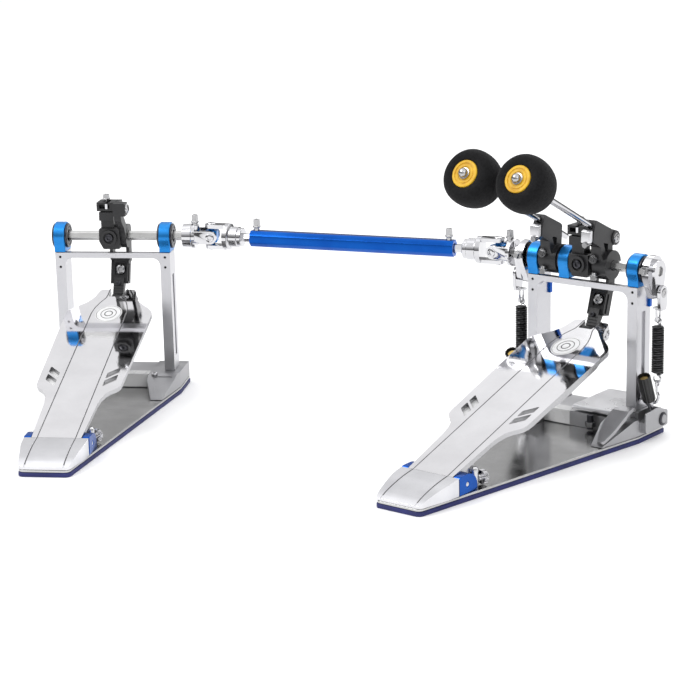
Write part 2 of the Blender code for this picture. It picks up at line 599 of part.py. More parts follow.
# ---- hoop clamp ---------------------------------------------------------------------------------
def make_clamp(side):
    pivot = Place("clamp_jaw_pivot", side, (0.0160, -0.0200, 0.0262))
    profile = [(-0.0215, CASTING_TOP + 0.0006), (-0.0215, 0.0275), (-0.0185, 0.0288), (0.0520, 0.0288),
               (0.0600, 0.0262), (0.0600, 0.0230), (0.0480, CASTING_TOP + 0.0006)]
    jaw = slab("clamp_jaw", pivot, YZ, profile, -0.0060, 0.0500)
    plan = [(-0.0050, -0.030), (0.0490, -0.030), (0.0490, 0.020), (0.0340, 0.061), (-0.0040, 0.061),
            (-0.0060, 0.050)]
    combine(jaw, [slab("jaw_plan", pivot, XY, plan, 0.0, 0.05)], "INTERSECT")
    finish(jaw, "cast_aluminium")

    hinge = Place("clamp_lever_pivot", side, (0.0560, -0.0250, 0.0310))
    blade = [(-0.0180, 0.0310), (-0.0250, 0.0345), (-0.0330, 0.0325), (-0.0480, 0.0235),
             (-0.0620, 0.0145), (-0.0700, 0.0100), (-0.0712, 0.0125), (-0.0640, 0.0172),
             (-0.0500, 0.0262), (-0.0345, 0.0362), (-0.0250, 0.0385), (-0.0165, 0.0340)]
    lever = slab("clamp_lever", hinge, YZ, blade, 0.0440, 0.0700)
    leaf = [(0.0640, -0.0150), (0.0560, -0.0150), (0.0500, -0.0300), (0.0485, -0.0480),
            (0.0510, -0.0620), (0.0560, -0.0730), (0.0620, -0.0690), (0.0665, -0.0560),
            (0.0690, -0.0400), (0.0690, -0.0260)]
    combine(lever, [slab("leaf", hinge, XY, leaf, 0.0, 0.06)], "INTERSECT")
    join(lever, rod("lever_hub", hinge, (0.0520, -0.0250, 0.0310), (0.0640, -0.0250, 0.0310), 0.0046, sides=14))
    finish(lever, "chrome")


# ---- universal joints and drive shaft -----------------------------------------------------------
def fork_arms(name, place, centre, along, across, sides_at):
    """Two fork arms: flat plates with round ends, on both sides of the joint's centre."""
    along, across = Vector(along), Vector(across)
    third = along.cross(across)
    turn = Matrix((along, third, across)).transposed().to_4x4()
    outline = arc((0, 0), FORK_HALF, 90, 270, 8) + [(FORK_DEEP + 0.002, -FORK_HALF),
                                                   (FORK_DEEP + 0.002, FORK_HALF)]
    made = []
    for sign in sides_at:
        arm = slab(name, place, XY, outline, min(sign * FORK_IN, sign * FORK_OUT),
                   max(sign * FORK_IN, sign * FORK_OUT), matrix=Matrix.Translation(centre) @ turn)
        made.append(arm)
    return made


def make_axle_fork(name, spin, sign, hub_end):
    """The fork on an axle's end: its arms stand before and behind the joint's centre."""
    centre = Vector((sign * JOINT_X, 0, AXLE_Z))
    hub_start = sign * (JOINT_X - FORK_DEEP)
    hub = rod(name, spin, (hub_start, 0, AXLE_Z), (sign * hub_end, 0, AXLE_Z), 0.0125, sides=24)
    join(hub, *fork_arms("arm", spin, centre, (-sign, 0, 0), (0, 1, 0), (-1, 1)))
    ring = rod("ring", spin, (hub_start, 0, AXLE_Z), (hub_start - sign * 0.0041, 0, AXLE_Z), 0.0142, sides=24)
    join(hub, ring)
    cut(hub, axle_bore(spin, sign * 0.06, sign * (JOINT_X - 0.005)),
        rod("fork_bore", spin, centre - Vector((0, 0.03, 0)), centre + Vector((0, 0.03, 0)),
            CROSS_PIN_R + 0.0006, sides=14))
    finish(hub, "chrome")


def make_cross(name, place, centre, along):
    """The joint's centre block, with two crossed pins."""
    along = Vector(along)
    level = Vector((0, 1, 0))
    turn = Matrix((along, level, along.cross(level))).transposed().to_4x4()
    block = box(name, place, (-0.0064, -0.0064, -0.0064), (0.0064, 0.0064, 0.0064))
    place.put(block, Matrix.Translation(centre) @ turn)
    reach = FORK_OUT + 0.0006
    for pin in (Vector((0, reach, 0)), Vector((0, 0, reach))):
        join(block, rod("pin", place, centre - pin, centre + pin, CROSS_PIN_R, sides=14))
    finish(block, "blue_anodised")


def make_shaft_end(name, shaft, centre, sign):
    """The fork on the drive shaft, its collar and the hexagonal rod that slides in the tube."""
    inward = Vector((sign, 0, 0))
    collar = rod(name, shaft, centre + inward * 0.0170, centre + inward * 0.0370, 0.0112, sides=24)
    join(collar, rod("ring", shaft, centre + inward * 0.0170, centre + inward * 0.0230, 0.0142, sides=24),
         *fork_arms("arm", shaft, centre, (sign, 0, 0), (0, 0, 1), (-1, 1)),
         hexagon("slider", shaft, centre + inward * 0.0360, centre + inward * 0.0640, SHAFT_FLATS, 0.0))
    cut(collar, rod("fork_bore", shaft, centre - Vector((0, 0, 0.03)), centre + Vector((0, 0, 0.03)),
                    CROSS_PIN_R + 0.0006, sides=14))
    finish(collar, "chrome")


def make_drive_shaft(main, slave_matrix):
    right = Vector((-JOINT_X, 0, AXLE_Z))
    left = slave_matrix @ Vector((JOINT_X, 0, AXLE_Z))
    span = left - right
    turn = math.atan2(span.y, span.x)
    shaft = Place("drive_shaft", matrix=Matrix.Translation(right) @ Matrix.Rotation(turn, 4, "Z"))
    origin = Vector((0, 0, 0))
    far = Vector((span.length, 0, 0))
    make_shaft_end("main_shaft_fork", shaft, origin, 1)
    make_shaft_end("slave_shaft_fork", shaft, far, -1)
    flat = TUBE_HALF - TUBE_CHAMFER
    section = [(TUBE_HALF, -flat), (TUBE_HALF, flat), (flat, TUBE_HALF), (-flat, TUBE_HALF),
               (-TUBE_HALF, flat), (-TUBE_HALF, -flat), (-flat, -TUBE_HALF), (flat, -TUBE_HALF)]
    tube = slab("drive_tube", shaft, YZ, section, TUBE_END, span.length - TUBE_END)
    cut(tube, rod("tube_bore", shaft, (0, 0, 0), far, 0.0052, sides=16))
    finish(tube, "blue_anodised")


# ---- the two pedals -----------------------------------------------------------------------------
slave_matrix = Matrix.Translation(SLAVE_ORIGIN) @ Matrix.Rotation(SLAVE_TURN, 4, "Z")
main = Place("main_pedal")
slave = Place("slave_pedal", matrix=slave_matrix)

for pedal, side in (("main", main), ("slave", slave)):
    make_base(pedal, side)
    make_frame(pedal, side)
    make_housing(pedal, side, "left", -POST_X)
    make_housing(pedal, side, "right", POST_X)
    make_link(pedal, make_footboard(pedal, side))
make_housing("main", main, "centre", CENTRE_HOUSING_X)

right_spin = Place("main_axle_spin", main, (0, 0, AXLE_Z))
make_axle("main_axle", right_spin, CENTRE_HOUSING_X + GAP, 0.0795)
main_cam = cam_body("main_cam", right_spin)
cut(main_cam, axle_bore(right_spin, -0.03, 0.03))
finish(main_cam, "black_metal")
make_holder("right_beater_holder", right_spin, RIGHT_ROD_X, 0.0128, 0.0284, True)
make_beater("right", right_spin, RIGHT_ROD_X)
make_rocker("right", right_spin, 1)

left_spin = Place("left_axle_spin", main, (0, 0, AXLE_Z))
make_axle("left_axle", left_spin, -0.0900, CENTRE_HOUSING_X - GAP)
make_holder("left_beater_holder", left_spin, LEFT_ROD_X, -0.0494, -0.0300, False)
make_beater("left", left_spin, LEFT_ROD_X)
make_rocker("left", left_spin, -1)
make_axle_fork("main_axle_fork", left_spin, -1, 0.0868)

slave_spin = Place("slave_axle_spin", slave, (0, 0, AXLE_Z))
make_axle("slave_axle", slave_spin, -0.0672, 0.0900)
slave_cam = cam_body("slave_cam", slave_spin)
clamp_leg = [(-0.0310, 0.2000), (-0.0215, 0.2000), (-0.0060, 0.1840), (0.0050, 0.1740), (-0.0120, 0.1700),
             (-0.0175, 0.1830), (-0.0300, 0.1930)]
join(slave_cam, slab("clamp_leg", slave_spin, YZ, clamp_leg, 0.0084, 0.0160),
     box("rod_clamp", slave_spin, (0.0080, -0.0330, 0.1990), (0.0210, -0.0200, 0.2128)),
     rod("slave_hub", slave_spin, (0.0, 0, AXLE_Z), (0.0160, 0, AXLE_Z), 0.0130, sides=24))
cut(slave_cam, axle_bore(slave_spin, -0.03, 0.04))
finish(slave_cam, "black_metal")
make_axle_fork("slave_axle_fork", slave_spin, 1, 0.0770)

right_joint = Place("main_joint", main, (-JOINT_X, 0, AXLE_Z))
make_cross("main_cross", right_joint, Vector((-JOINT_X, 0, AXLE_Z)), (1, 0, 0))
left_joint = Place("slave_joint", slave, (JOINT_X, 0, AXLE_Z))
make_cross("slave_cross", left_joint, Vector((JOINT_X, 0, AXLE_Z)), (1, 0, 0))
make_drive_shaft(main, slave_matrix)

for hand, sign, lean, reach in (("right", 1, RIGHT_KNOB_LEAN, 0.0), ("left", -1, LEFT_KNOB_LEAN, LEFT_KNOB_REACH)):
    make_spring(hand, main, sign)
    make_adjuster(hand, main, sign, lean, reach)
make_clamp(main)
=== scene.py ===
"""Looks of the double bass drum pedal: finer shapes, small hardware and procedural materials."""

import math

import bmesh
import bpy
from mathutils import Matrix, Vector


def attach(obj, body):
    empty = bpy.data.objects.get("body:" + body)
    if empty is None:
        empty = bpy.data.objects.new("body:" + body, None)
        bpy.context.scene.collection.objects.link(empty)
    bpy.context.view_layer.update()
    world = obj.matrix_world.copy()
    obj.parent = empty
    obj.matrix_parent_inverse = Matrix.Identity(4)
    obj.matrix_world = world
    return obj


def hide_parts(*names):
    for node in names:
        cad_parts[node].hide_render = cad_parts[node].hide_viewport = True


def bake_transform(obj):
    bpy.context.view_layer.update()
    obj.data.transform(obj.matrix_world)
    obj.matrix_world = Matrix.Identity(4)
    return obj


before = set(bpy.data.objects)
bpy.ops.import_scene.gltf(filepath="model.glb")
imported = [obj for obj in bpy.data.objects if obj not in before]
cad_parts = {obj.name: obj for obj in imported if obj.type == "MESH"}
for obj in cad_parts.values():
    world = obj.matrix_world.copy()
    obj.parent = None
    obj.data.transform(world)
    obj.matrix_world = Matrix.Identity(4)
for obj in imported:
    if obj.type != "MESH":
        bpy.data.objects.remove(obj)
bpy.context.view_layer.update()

# ---- dimensions shared with the model, in metres ------------------------------------------------
# where each pedal stands: the main one at the origin, the slave beside it and nearer the player
MAIN = Matrix.Identity(4)
SLAVE_TURN = math.radians(30.95)
SLAVE = Matrix.Translation((-0.5063, -0.1551, 0.0)) @ Matrix.Rotation(SLAVE_TURN, 4, "Z")
PLACES = {"main": MAIN, "slave": SLAVE}
SIDES = ((-1, "left"), (1, "right"))
GAP = 0.0003
# base: half width, rear edge, where things stand on its plate, and the middle of a spring tower
BASE_HALF = 0.0714
BASE_BACK = 0.032
DECK = 0.0073
TOWER_X = 0.0712
# frame: middle, half depth and top of its posts
POST_X = 0.058
POST_DEPTH = 0.01275
POST_TOP = 0.1553
# axle: height, width across its six flats, and their turn
AXLE_Z = 0.172
AXLE_FLATS = 0.0092
AXLE_TWIST = math.radians(14)
AXLE = (0, AXLE_Z)
# footboard: its lower end at the heel's seam, its slope, and its grooves and slanted windows
SEAM_Y = -0.271
SEAM_Z = 0.0243
SLOPE = math.radians(17)
TILT = Matrix.Translation((0, SEAM_Y, SEAM_Z)) @ Matrix.Rotation(SLOPE, 4, "X")
STRETCH = 1 / math.cos(SLOPE)
GROOVE_X = 0.0193
WINDOW_OUT, WINDOW_IN = 0.037, 0.025
WINDOW_Y, WINDOW_LONG, WINDOW_RAKE = -0.145, 0.0245, 0.95
# the footboard's two pins (y, z), and how far the link's upper pin is beyond the axle
HINGE_Y, HINGE_Z = HINGE = (-0.258, 0.0155)
TOE_Y, TOE_Z = TOE = (0.003, 0.1005)
LINK_REACH = 0.027
# beater: its rod's lean, distance from the axle and radius, and the place of its head along the rod
ROD_LEAN = math.radians(63.2)
ROD_OFFSET = 0.0262
ROD_R = 0.0032
HEAD_TIP = 0.1885
HOLDER_HALF = 0.0057
LOBE = (0.0098, 0.1978)
# return springs: coil, rocker's pin below the axle, and the lower hook's height
SPRING_X = 0.08
COIL_LOW, COIL_HIGH = 0.07, 0.1172
COIL_TURNS, COIL_STEPS = 20, 18
COIL_R, COIL_WIRE = 0.0054, 0.00086
ROCKER_PIN = 0.021
HOOK_LOW = 0.056
# universal joints: distance from the pedal's middle, and a fork's hub radius, reach and bore
JOINT_X = 0.108
FORK_R = 0.0142
FORK_REACH = 0.017
FORK_BORE = 0.0037


# ---- materials ----------------------------------------------------------------------------------
class Nodes:
    """A node tree, with short calls for the nodes used here."""

    def __init__(self, tree, coordinates="Object", turn=0.0):
        self.tree = tree
        self.place = self.put("ShaderNodeTexCoord").outputs[coordinates]
        if turn:
            self.place = self.mapped({"Rotation": (0, 0, turn)})

    def put(self, kind, values=None, **settings):
        """A node of this kind, with the values of its inputs and its settings."""
        node = self.tree.nodes.new(kind)
        for key, value in settings.items():
            setattr(node, key, value)
        for key, value in (values or {}).items():
            node.inputs[key].default_value = value
        return node

    def link(self, source, target):
        self.tree.links.new(source, target)

    def mapped(self, values):
        node = self.put("ShaderNodeMapping", values)
        self.link(self.place, node.inputs["Vector"])
        return node.outputs["Vector"]

    def noise(self, scale, detail=3.0, stretch=(1, 1, 1), rough=0.5):
        node = self.put("ShaderNodeTexNoise", {"Scale": scale, "Detail": detail, "Roughness": rough})
        self.link(self.mapped({"Scale": stretch}), node.inputs["Vector"])
        return node.outputs["Fac"]

    def between(self, value, low, high, start=0.3, end=0.7):
        ends = {"From Min": start, "From Max": end, "To Min": low, "To Max": high}
        node = self.put("ShaderNodeMapRange", ends)
        self.link(value, node.inputs["Value"])
        return node.outputs["Result"]

    def mixed(self, value, first, second):
        """From the first colour to the second; either may be the output of another node."""
        node = self.put("ShaderNodeMix", data_type="RGBA")
        self.link(value, node.inputs["Factor"])
        for colour, socket in ((first, node.inputs[6]), (second, node.inputs[7])):
            if isinstance(colour, tuple):
                socket.default_value = (*colour, 1)
            else:
                self.link(colour, socket)
        return node.outputs[2]

    def varied(self, value, first, second, start=0.3, end=0.7):
        return self.mixed(self.between(value, 0.0, 1.0, start, end), first, second)

    def bump(self, height, distance, after=None):
        node = self.put("ShaderNodeBump", {"Strength": 1.0, "Distance": distance})
        self.link(height, node.inputs["Height"])
        if after is not None:
            self.link(after, node.inputs["Normal"])
        return node.outputs["Normal"]


class Surface(Nodes):
    """A material's nodes, which feed its one shader."""

    def __init__(self, name, turn=0.0):
        self.material = bpy.data.materials.new(name)
        self.material.use_nodes = True
        super().__init__(self.material.node_tree, "Object", turn)
        self.shader = self.tree.nodes["Principled BSDF"]

    def set(self, name, value):
        if isinstance(value, bpy.types.NodeSocket):
            self.link(value, self.shader.inputs[name])
        elif isinstance(value, tuple):
            self.shader.inputs[name].default_value = (*value, 1)
        else:
            self.shader.inputs[name].default_value = value


def grey(level, blue=0.0):
    return (level, level, level + blue)


def slow_gloss(n):
    """Smudges: the slow changes of colour and gloss over a metal."""
    return n.noise(35, 4.0)


def metal(name, dark, light, low, high, grain, grain_scale, depth, metallic=1.0, turn=0.0):
    """A metal or coat with a fine grain, slow changes of gloss and a little variation in colour."""
    n = Surface(name, turn)
    n.set("Metallic", metallic)
    slow = slow_gloss(n)
    fine = n.noise(grain_scale, 2.0, grain)
    n.set("Base Color", n.varied(slow, dark, light))
    n.set("Roughness", n.between(slow, low, high))
    n.set("Normal", n.bump(fine, depth))
    return n.material


# a metal's name, dark and light colour, least and most roughness, grain's stretch, scale and depth,
# and, where they differ from 1 and 0, how metallic it is and the turn of its grain
EVEN = (1, 1, 1)
METALS = {
    "polished": ("polished_aluminium", grey(0.6, 0.02), grey(0.68, 0.02), 0.05, 0.11,
                 (3, 0.15, 3), 500, 0.000004),
    "axle": ("axle_steel", grey(0.62, -0.01), grey(0.72, -0.01), 0.16, 0.28, (0.1, 3, 3), 500, 0.00001),
    "satin": ("satin_aluminium", grey(0.62, 0.015), grey(0.69, 0.015), 0.24, 0.34,
              (6, 0.12, 6), 420, 0.000008),
    "satin_post": ("satin_post", grey(0.5, 0.02), grey(0.57, 0.02), 0.26, 0.36, (6, 6, 0.1), 420, 0.00001),
    "cast": ("cast_aluminium", grey(0.36, 0.012), grey(0.45, 0.012), 0.36, 0.5, EVEN, 1500, 0.00002),
    "plate": ("steel_plate", grey(0.44, -0.003), grey(0.54, -0.003), 0.12, 0.22,
              (4, 0.1, 4), 300, 0.000006),
    "plate_slave": ("steel_plate_slave", grey(0.44, -0.003), grey(0.54, -0.003), 0.12, 0.22,
                    (4, 0.1, 4), 300, 0.000006, 1.0, -SLAVE_TURN),
    "chrome": ("chrome", grey(0.54, 0.015), grey(0.62, 0.015), 0.05, 0.12, EVEN, 600, 0.000006),
    "stainless": ("stainless", grey(0.36, 0.005), grey(0.45, 0.005), 0.14, 0.26, (6, 1, 1), 500, 0.00001),
    "bolt": ("dark_bolt", grey(0.2, 0.005), grey(0.28, 0.005), 0.12, 0.22, EVEN, 600, 0.000006),
    "blue": ("blue_anodised", (0.01, 0.18, 0.53), (0.024, 0.235, 0.62), 0.24, 0.34,
             EVEN, 1200, 0.000003, 0.8),
    "deep_blue": ("deep_blue_anodised", (0.001, 0.06, 0.33), (0.003, 0.085, 0.4), 0.14, 0.22,
                  (0.1, 3, 3), 700, 0.000006, 0.88),
    "dark": ("dark_steel", grey(0.04, 0.005), grey(0.08, 0.01), 0.24, 0.38, EVEN, 900, 0.00001),
    "black": ("black_coat", grey(0.006, 0.001), grey(0.013, 0.0015), 0.34, 0.46, EVEN, 2600, 0.00002, 0.0),
    # near-black: painted shade in the post holes and inside the coil, and the printed rings of the medallion
    "hole": ("dark_hole", grey(0.002), grey(0.005), 0.7, 0.85, EVEN, 900, 0.00001, 0.0),
    "groove": ("groove_shadow", grey(0.12, 0.005), grey(0.18, 0.005), 0.5, 0.65, EVEN, 900, 0.00001, 0.5),
    "spring": ("black_wire", grey(0.02, 0.001), grey(0.045, 0.002), 0.16, 0.28, EVEN, 900, 0.00001, 0.7),
    "brass": ("brass", (0.42, 0.3, 0.1), (0.54, 0.4, 0.15), 0.2, 0.32, EVEN, 700, 0.00001),
    "enamel": ("pale_enamel", grey(0.66), grey(0.74), 0.22, 0.32, EVEN, 600, 0.00001, 0.0),
}


def board_metal():
    """Mirror-polished aluminium on the treads, and a duller sawn edge with painted shade, a darker base
    colour, on the steep faces.
    """
    n = Surface("board_aluminium")
    n.set("Metallic", 1.0)
    slow = slow_gloss(n)
    fine = n.noise(330, 2.0, (9, 0.08, 9))
    split = n.put("ShaderNodeSeparateXYZ")
    n.link(n.tree.nodes["Texture Coordinate"].outputs["Normal"], split.inputs[0])
    tread_mask_for_gloss_and_shade = n.between(split.outputs["Z"], 0.0, 1.0, 0.55, 0.8)
    top = n.varied(slow, (0.7, 0.695, 0.71), (0.76, 0.755, 0.77))
    # painted shade: faces turned away from the top get the darker grey 0.46 instead of the tread colour
    n.set("Base Color", n.mixed(tread_mask_for_gloss_and_shade, grey(0.46, 0.01), top))
    edge_dullness = 0.22
    gloss = n.put("ShaderNodeMath", {1: -edge_dullness, 2: edge_dullness}, operation="MULTIPLY_ADD")
    n.link(tread_mask_for_gloss_and_shade, gloss.inputs[0])
    total = n.put("ShaderNodeMath", operation="ADD")
    n.link(gloss.outputs[0], total.inputs[0])
    n.link(n.between(slow, 0.03, 0.075), total.inputs[1])
    n.set("Roughness", total.outputs[0])
    n.set("Normal", n.bump(fine, 0.000004))
    return n.material


def rubber(name, patch, dark, light, roughness, grain, depth):
    n = Surface(name)
    n.set("Base Color", n.varied(n.noise(patch), dark, light))
    n.set("Roughness", roughness)
    n.set("Normal", n.bump(n.noise(grain, 2.0), depth))
    return n.material


def felt():
    n = Surface("black_felt")
    fuzz = n.noise(2400, 4.0, rough=0.75)
    wool = n.noise(420, 4.0, rough=0.7)
    n.set("Base Color", n.varied(wool, grey(0.0022, 0.0004), grey(0.0075, 0.001), 0.35, 0.65))
    n.set("Roughness", 0.92)
    n.set("Sheen Weight", 0.03)
    n.set("Sheen Roughness", 0.5)
    n.set("Specular IOR Level", 0.25)
    n.set("Normal", n.bump(fuzz, 0.00022, n.bump(wool, 0.0004)))
    return n.material


def yellow_plastic():
    n = Surface("yellow_disc")
    n.set("Base Color", n.varied(n.noise(140, 5.0), (0.56, 0.3, 0.008), (0.74, 0.46, 0.025)))
    n.set("Roughness", n.between(n.noise(300), 0.3, 0.48))
    n.set("Normal", n.bump(n.noise(1500), 0.00003))
    n.set("Specular IOR Level", 0.3)
    return n.material


def pale_floor():
    n = Surface("pale_floor")
    n.set("Base Color", grey(0.95))
    n.set("Roughness", n.between(n.noise(8), 0.55, 0.65))
    return n.material


LOOK = {key: metal(*facts) for key, facts in METALS.items()}
LOOK["board"] = board_metal()
LOOK["navy"] = rubber("navy_rubber", 60, (0.006, 0.009, 0.085), (0.012, 0.016, 0.13), 0.55, 1800, 0.00006)
LOOK["rubber"] = rubber("black_rubber", 90, grey(0.006), grey(0.013), 0.42, 2500, 0.00005)
LOOK["felt"] = felt()
LOOK["yellow"] = yellow_plastic()
LOOK["floor"] = pale_floor()


# ---- shapes -------------------------------------------------------------------------------------
AXES = {"XY": lambda a, b, t: (a, b, t), "YZ": lambda a, b, t: (t, a, b), "XZ": lambda a, b, t: (a, t, b)}


def loose(mesh):
    obj = bpy.data.objects.new("shape", mesh)
    bpy.context.scene.collection.objects.link(obj)
    return obj


def from_bmesh(shape, matrix=None):
    bmesh.ops.recalc_face_normals(shape, faces=shape.faces)
    mesh = bpy.data.meshes.new("shape")
    shape.to_mesh(mesh)
    shape.free()
    if matrix is not None:
        mesh.transform(matrix)
    return loose(mesh)


def slab(plane, outline, low, high, matrix=None):
    """An outline in a drawing plane, as thick as from low to high along the third axis."""
    shape = bmesh.new()
    ends = [[shape.verts.new(AXES[plane](a, b, t)) for a, b in outline] for t in (low, high)]
    shape.faces.new(ends[0])
    shape.faces.new(ends[1])
    count = len(outline)
    for i in range(count):
        j = (i + 1) % count
        shape.faces.new((ends[0][i], ends[0][j], ends[1][j], ends[1][i]))
    return from_bmesh(shape, matrix)


def box(low, high, matrix=None):
    corners = [(low[0], low[1]), (high[0], low[1]), (high[0], high[1]), (low[0], high[1])]
    return slab("XY", corners, low[2], high[2], matrix)


def facing(direction):
    return Vector(direction).to_track_quat("Z", "Y").to_matrix().to_4x4()


def round_point(radius, i, count, twist=0.0):
    angle = 2 * math.pi * i / count + twist
    return (radius * math.cos(angle), radius * math.sin(angle))


def lathe(start, towards, profile, sides=48, twist=0.0):
    """(radius, distance) points turned about the line from start; closed at radius 0 or as a ring."""
    shape = bmesh.new()
    rings = []
    for radius, distance in profile:
        corners = [(0, 0)] if radius < 1e-7 else [round_point(radius, i, sides, twist) for i in range(sides)]
        rings.append([shape.verts.new((x, y, distance)) for x, y in corners])
    ring_shape = len(rings[0]) > 1 and len(rings[-1]) > 1
    pairs = list(zip(rings, rings[1:])) + ([(rings[-1], rings[0])] if ring_shape else [])
    for one, other in pairs:
        for i in range(sides):
            j = (i + 1) % sides
            corners = [one[i % len(one)], one[j % len(one)], other[j % len(other)], other[i % len(other)]]
            unique = []
            for corner in corners:
                if corner not in unique:
                    unique.append(corner)
            if len(unique) > 2:
                shape.faces.new(unique)
    return from_bmesh(shape, Matrix.Translation(start) @ facing(towards))


def disc(radius, height):
    """The profile of a plain round piece."""
    return [(0, 0), (radius, 0), (radius, height), (0, height)]


def rod(start, end, radius, end_radius=None, sides=32, twist=0.0):
    start, end = Vector(start), Vector(end)
    last = radius if end_radius is None else end_radius
    length = (end - start).length
    return lathe(start, end - start, [(0, 0), (radius, 0), (last, length), (0, length)], sides, twist)


def bar(start, end, spot, radius, sides=32):
    """A round bar along X, through the spot (y, z)."""
    return rod((start, *spot), (end, *spot), radius, sides=sides)


def hexagon(start, end, flats, twist=AXLE_TWIST):
    return rod(start, end, flats / math.sqrt(3), sides=6, twist=twist)


def tube(points, radius, sides=8, closed=False):
    """A round wire through points."""
    curve = bpy.data.curves.new("wire", "CURVE")
    curve.dimensions = "3D"
    curve.bevel_depth = radius
    curve.bevel_resolution = max(0, sides // 2 - 2)
    curve.use_fill_caps = True
    spline = curve.splines.new("POLY")
    spline.points.add(len(points) - 1)
    for point, place in zip(spline.points, points):
        point.co = (*place, 1)
    spline.use_cyclic_u = closed
    obj = bpy.data.objects.new("wire", curve)
    bpy.context.scene.collection.objects.link(obj)
    return settled(obj)


def settled(obj):
    """The object with its modifiers applied, as a new mesh object."""
    bpy.context.view_layer.update()
    graph = bpy.context.evaluated_depsgraph_get()
    mesh = bpy.data.meshes.new_from_object(obj.evaluated_get(graph))
    bpy.data.objects.remove(obj, do_unlink=True)
    return loose(mesh)


def combine(obj, others, operation):
    for other in others:
        change = obj.modifiers.new("cut", "BOOLEAN")
        change.operation = operation
        change.solver = "EXACT"
        change.object = other
    made = settled(obj)
    for other in others:
        bpy.data.objects.remove(other, do_unlink=True)
    return made


def join(obj, *others):
    return combine(obj, others, "UNION")


def cut(obj, *others):
    return combine(obj, others, "DIFFERENCE")


def keep(obj, other):
    return combine(obj, [other], "INTERSECT")


def arc(centre, radius, first, last, steps):
    angles = [math.radians(first + (last - first) * i / steps) for i in range(steps + 1)]
    return [(centre[0] + radius * math.cos(a), centre[1] + radius * math.sin(a)) for a in angles]


def rounded(points, radius, steps=4):
    """An outline with its corners rounded."""
    out = []
    count = len(points)
    for i in range(count):
        here = Vector(points[i])
        before = Vector(points[i - 1]) - here
        after = Vector(points[(i + 1) % count]) - here
        turn = before.angle(after)
        reach = min(radius / math.tan(turn / 2), before.length * 0.45, after.length * 0.45)
        one = here + before.normalized() * reach
        two = here + after.normalized() * reach
        for k in range(steps + 1):
            t = k / steps
            point = one * (1 - t) ** 2 + here * 2 * t * (1 - t) + two * t ** 2
            out.append((point.x, point.y))
    return out


def mm(*points):
    """Points given in millimetres."""
    return [(a / 1000, b / 1000) for a, b in points]


def mirrored(half):
    return half + [(-x, y) for x, y in reversed(half)]


def ridged(count, first, second, period, wide):
    """A round outline: in each period, the first radius for wide points and then the second."""
    return [round_point(first if i % period < wide else second, i, count) for i in range(count)]


def smooth_path(points, steps=6):
    """A smooth curve through points."""
    points = [Vector(p) for p in points]
    out = []
    for i in range(len(points) - 1):
        before = points[max(i - 1, 0)]
        one, two = points[i], points[i + 1]
        after = points[min(i + 2, len(points) - 1)]
        for k in range(steps):
            t = k / steps
            out.append(0.5 * ((2 * one) + (two - before) * t
                              + (2 * before - 5 * one + 4 * two - after) * t * t
                              + (3 * one - before - 3 * two + after) * t ** 3))
    return out + [points[-1]]


# ---- finished pieces ----------------------------------------------------------------------------
class Kit:
    """Hands pieces to one body. Their names start with the prefix, and place puts them in the frame."""

    def __init__(self, prefix, body, place=MAIN):
        self.prefix = prefix
        self.body = body
        self.place = place

    def add(self, obj, name, look, bevel=0.0, segments=2, angle=35, node=None, smooth=32):
        """Cleans, rounds, shades and paints a piece. It stands for the CAD node of prefix + node."""
        shape = bmesh.new()
        shape.from_mesh(obj.data)
        bmesh.ops.remove_doubles(shape, verts=shape.verts, dist=0.000004)
        bmesh.ops.dissolve_limit(shape, angle_limit=math.radians(0.6), verts=shape.verts, edges=shape.edges)
        bmesh.ops.recalc_face_normals(shape, faces=shape.faces)
        shape.to_mesh(obj.data)
        shape.free()
        obj.data.shade_smooth()
        obj.data.set_sharp_from_angle(angle=math.radians(smooth))
        if bevel:
            edge = obj.modifiers.new("edges", "BEVEL")
            edge.width = bevel
            edge.segments = segments
            edge.limit_method = "ANGLE"
            edge.angle_limit = math.radians(angle)
            edge.harden_normals = True
            edge.use_clamp_overlap = True
            edge.miter_outer = "MITER_ARC"
            obj = settled(obj)
        obj.name = self.prefix + name
        obj.data.name = obj.name
        obj.data.materials.clear()
        obj.data.materials.append(LOOK[look])
        obj.matrix_world = self.place
        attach(obj, self.body)
        if node is not None:
            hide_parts(self.prefix + node)
        return obj

    def screw(self, base, towards, radius, height, name, look="chrome", socket=True):
        """A button-head screw, with a hexagonal socket or plain."""
        profile = [(0, 0), (radius, 0), (radius, height * 0.35), (radius * 0.88, height * 0.75),
                   (radius * 0.62, height), (0, height)]
        head = lathe(base, towards, profile, 32)
        if socket:
            base, up = Vector(base), Vector(towards).normalized()
            head = cut(head, rod(base + up * height * 0.35, base + up * height * 2, radius * 0.48, sides=6))
        self.add(head, name, look, bevel=min(radius, height) * 0.08)

    def key_bolt(self, base, towards, name, height=0.0085, look="stainless"):
        """A square-headed key bolt standing on a round collar."""
        base, up = Vector(base), Vector(towards).normalized()
        neck, wide = 0.003, 0.0032
        collar = wide * 1.35
        shank = lathe(base, up, [(0, 0), (neck, 0), (neck, height * 0.25), (collar, height * 0.3),
                                 (collar, height * 0.42), (0, height * 0.42)], 24)
        square = rod(base + up * height * 0.36, base + up * height, wide * 1.2, wide * 1.12, sides=4,
                     twist=math.radians(30))
        self.add(join(shank, square), name, look, bevel=0.0003)

    def nut(self, base, towards, flats, height, name, look):
        base, up = Vector(base), Vector(towards).normalized()
        self.add(hexagon(base, base + up * height, flats, 0.3), name, look, bevel=0.0004)


# ---- base of a pedal ----------------------------------------------------------------------------
def base_outline(inset=0.0):
    half = arc((0.0202 - inset, -0.316 + inset), 0.006, -90, -10, 8)
    half += arc((BASE_HALF - 0.004 - inset, -0.018), 0.004, -12, 0, 2)
    half += arc((BASE_HALF - 0.003 - inset, BASE_BACK - 0.003 - inset), 0.003, 0, 90, 5)
    return mirrored(half)


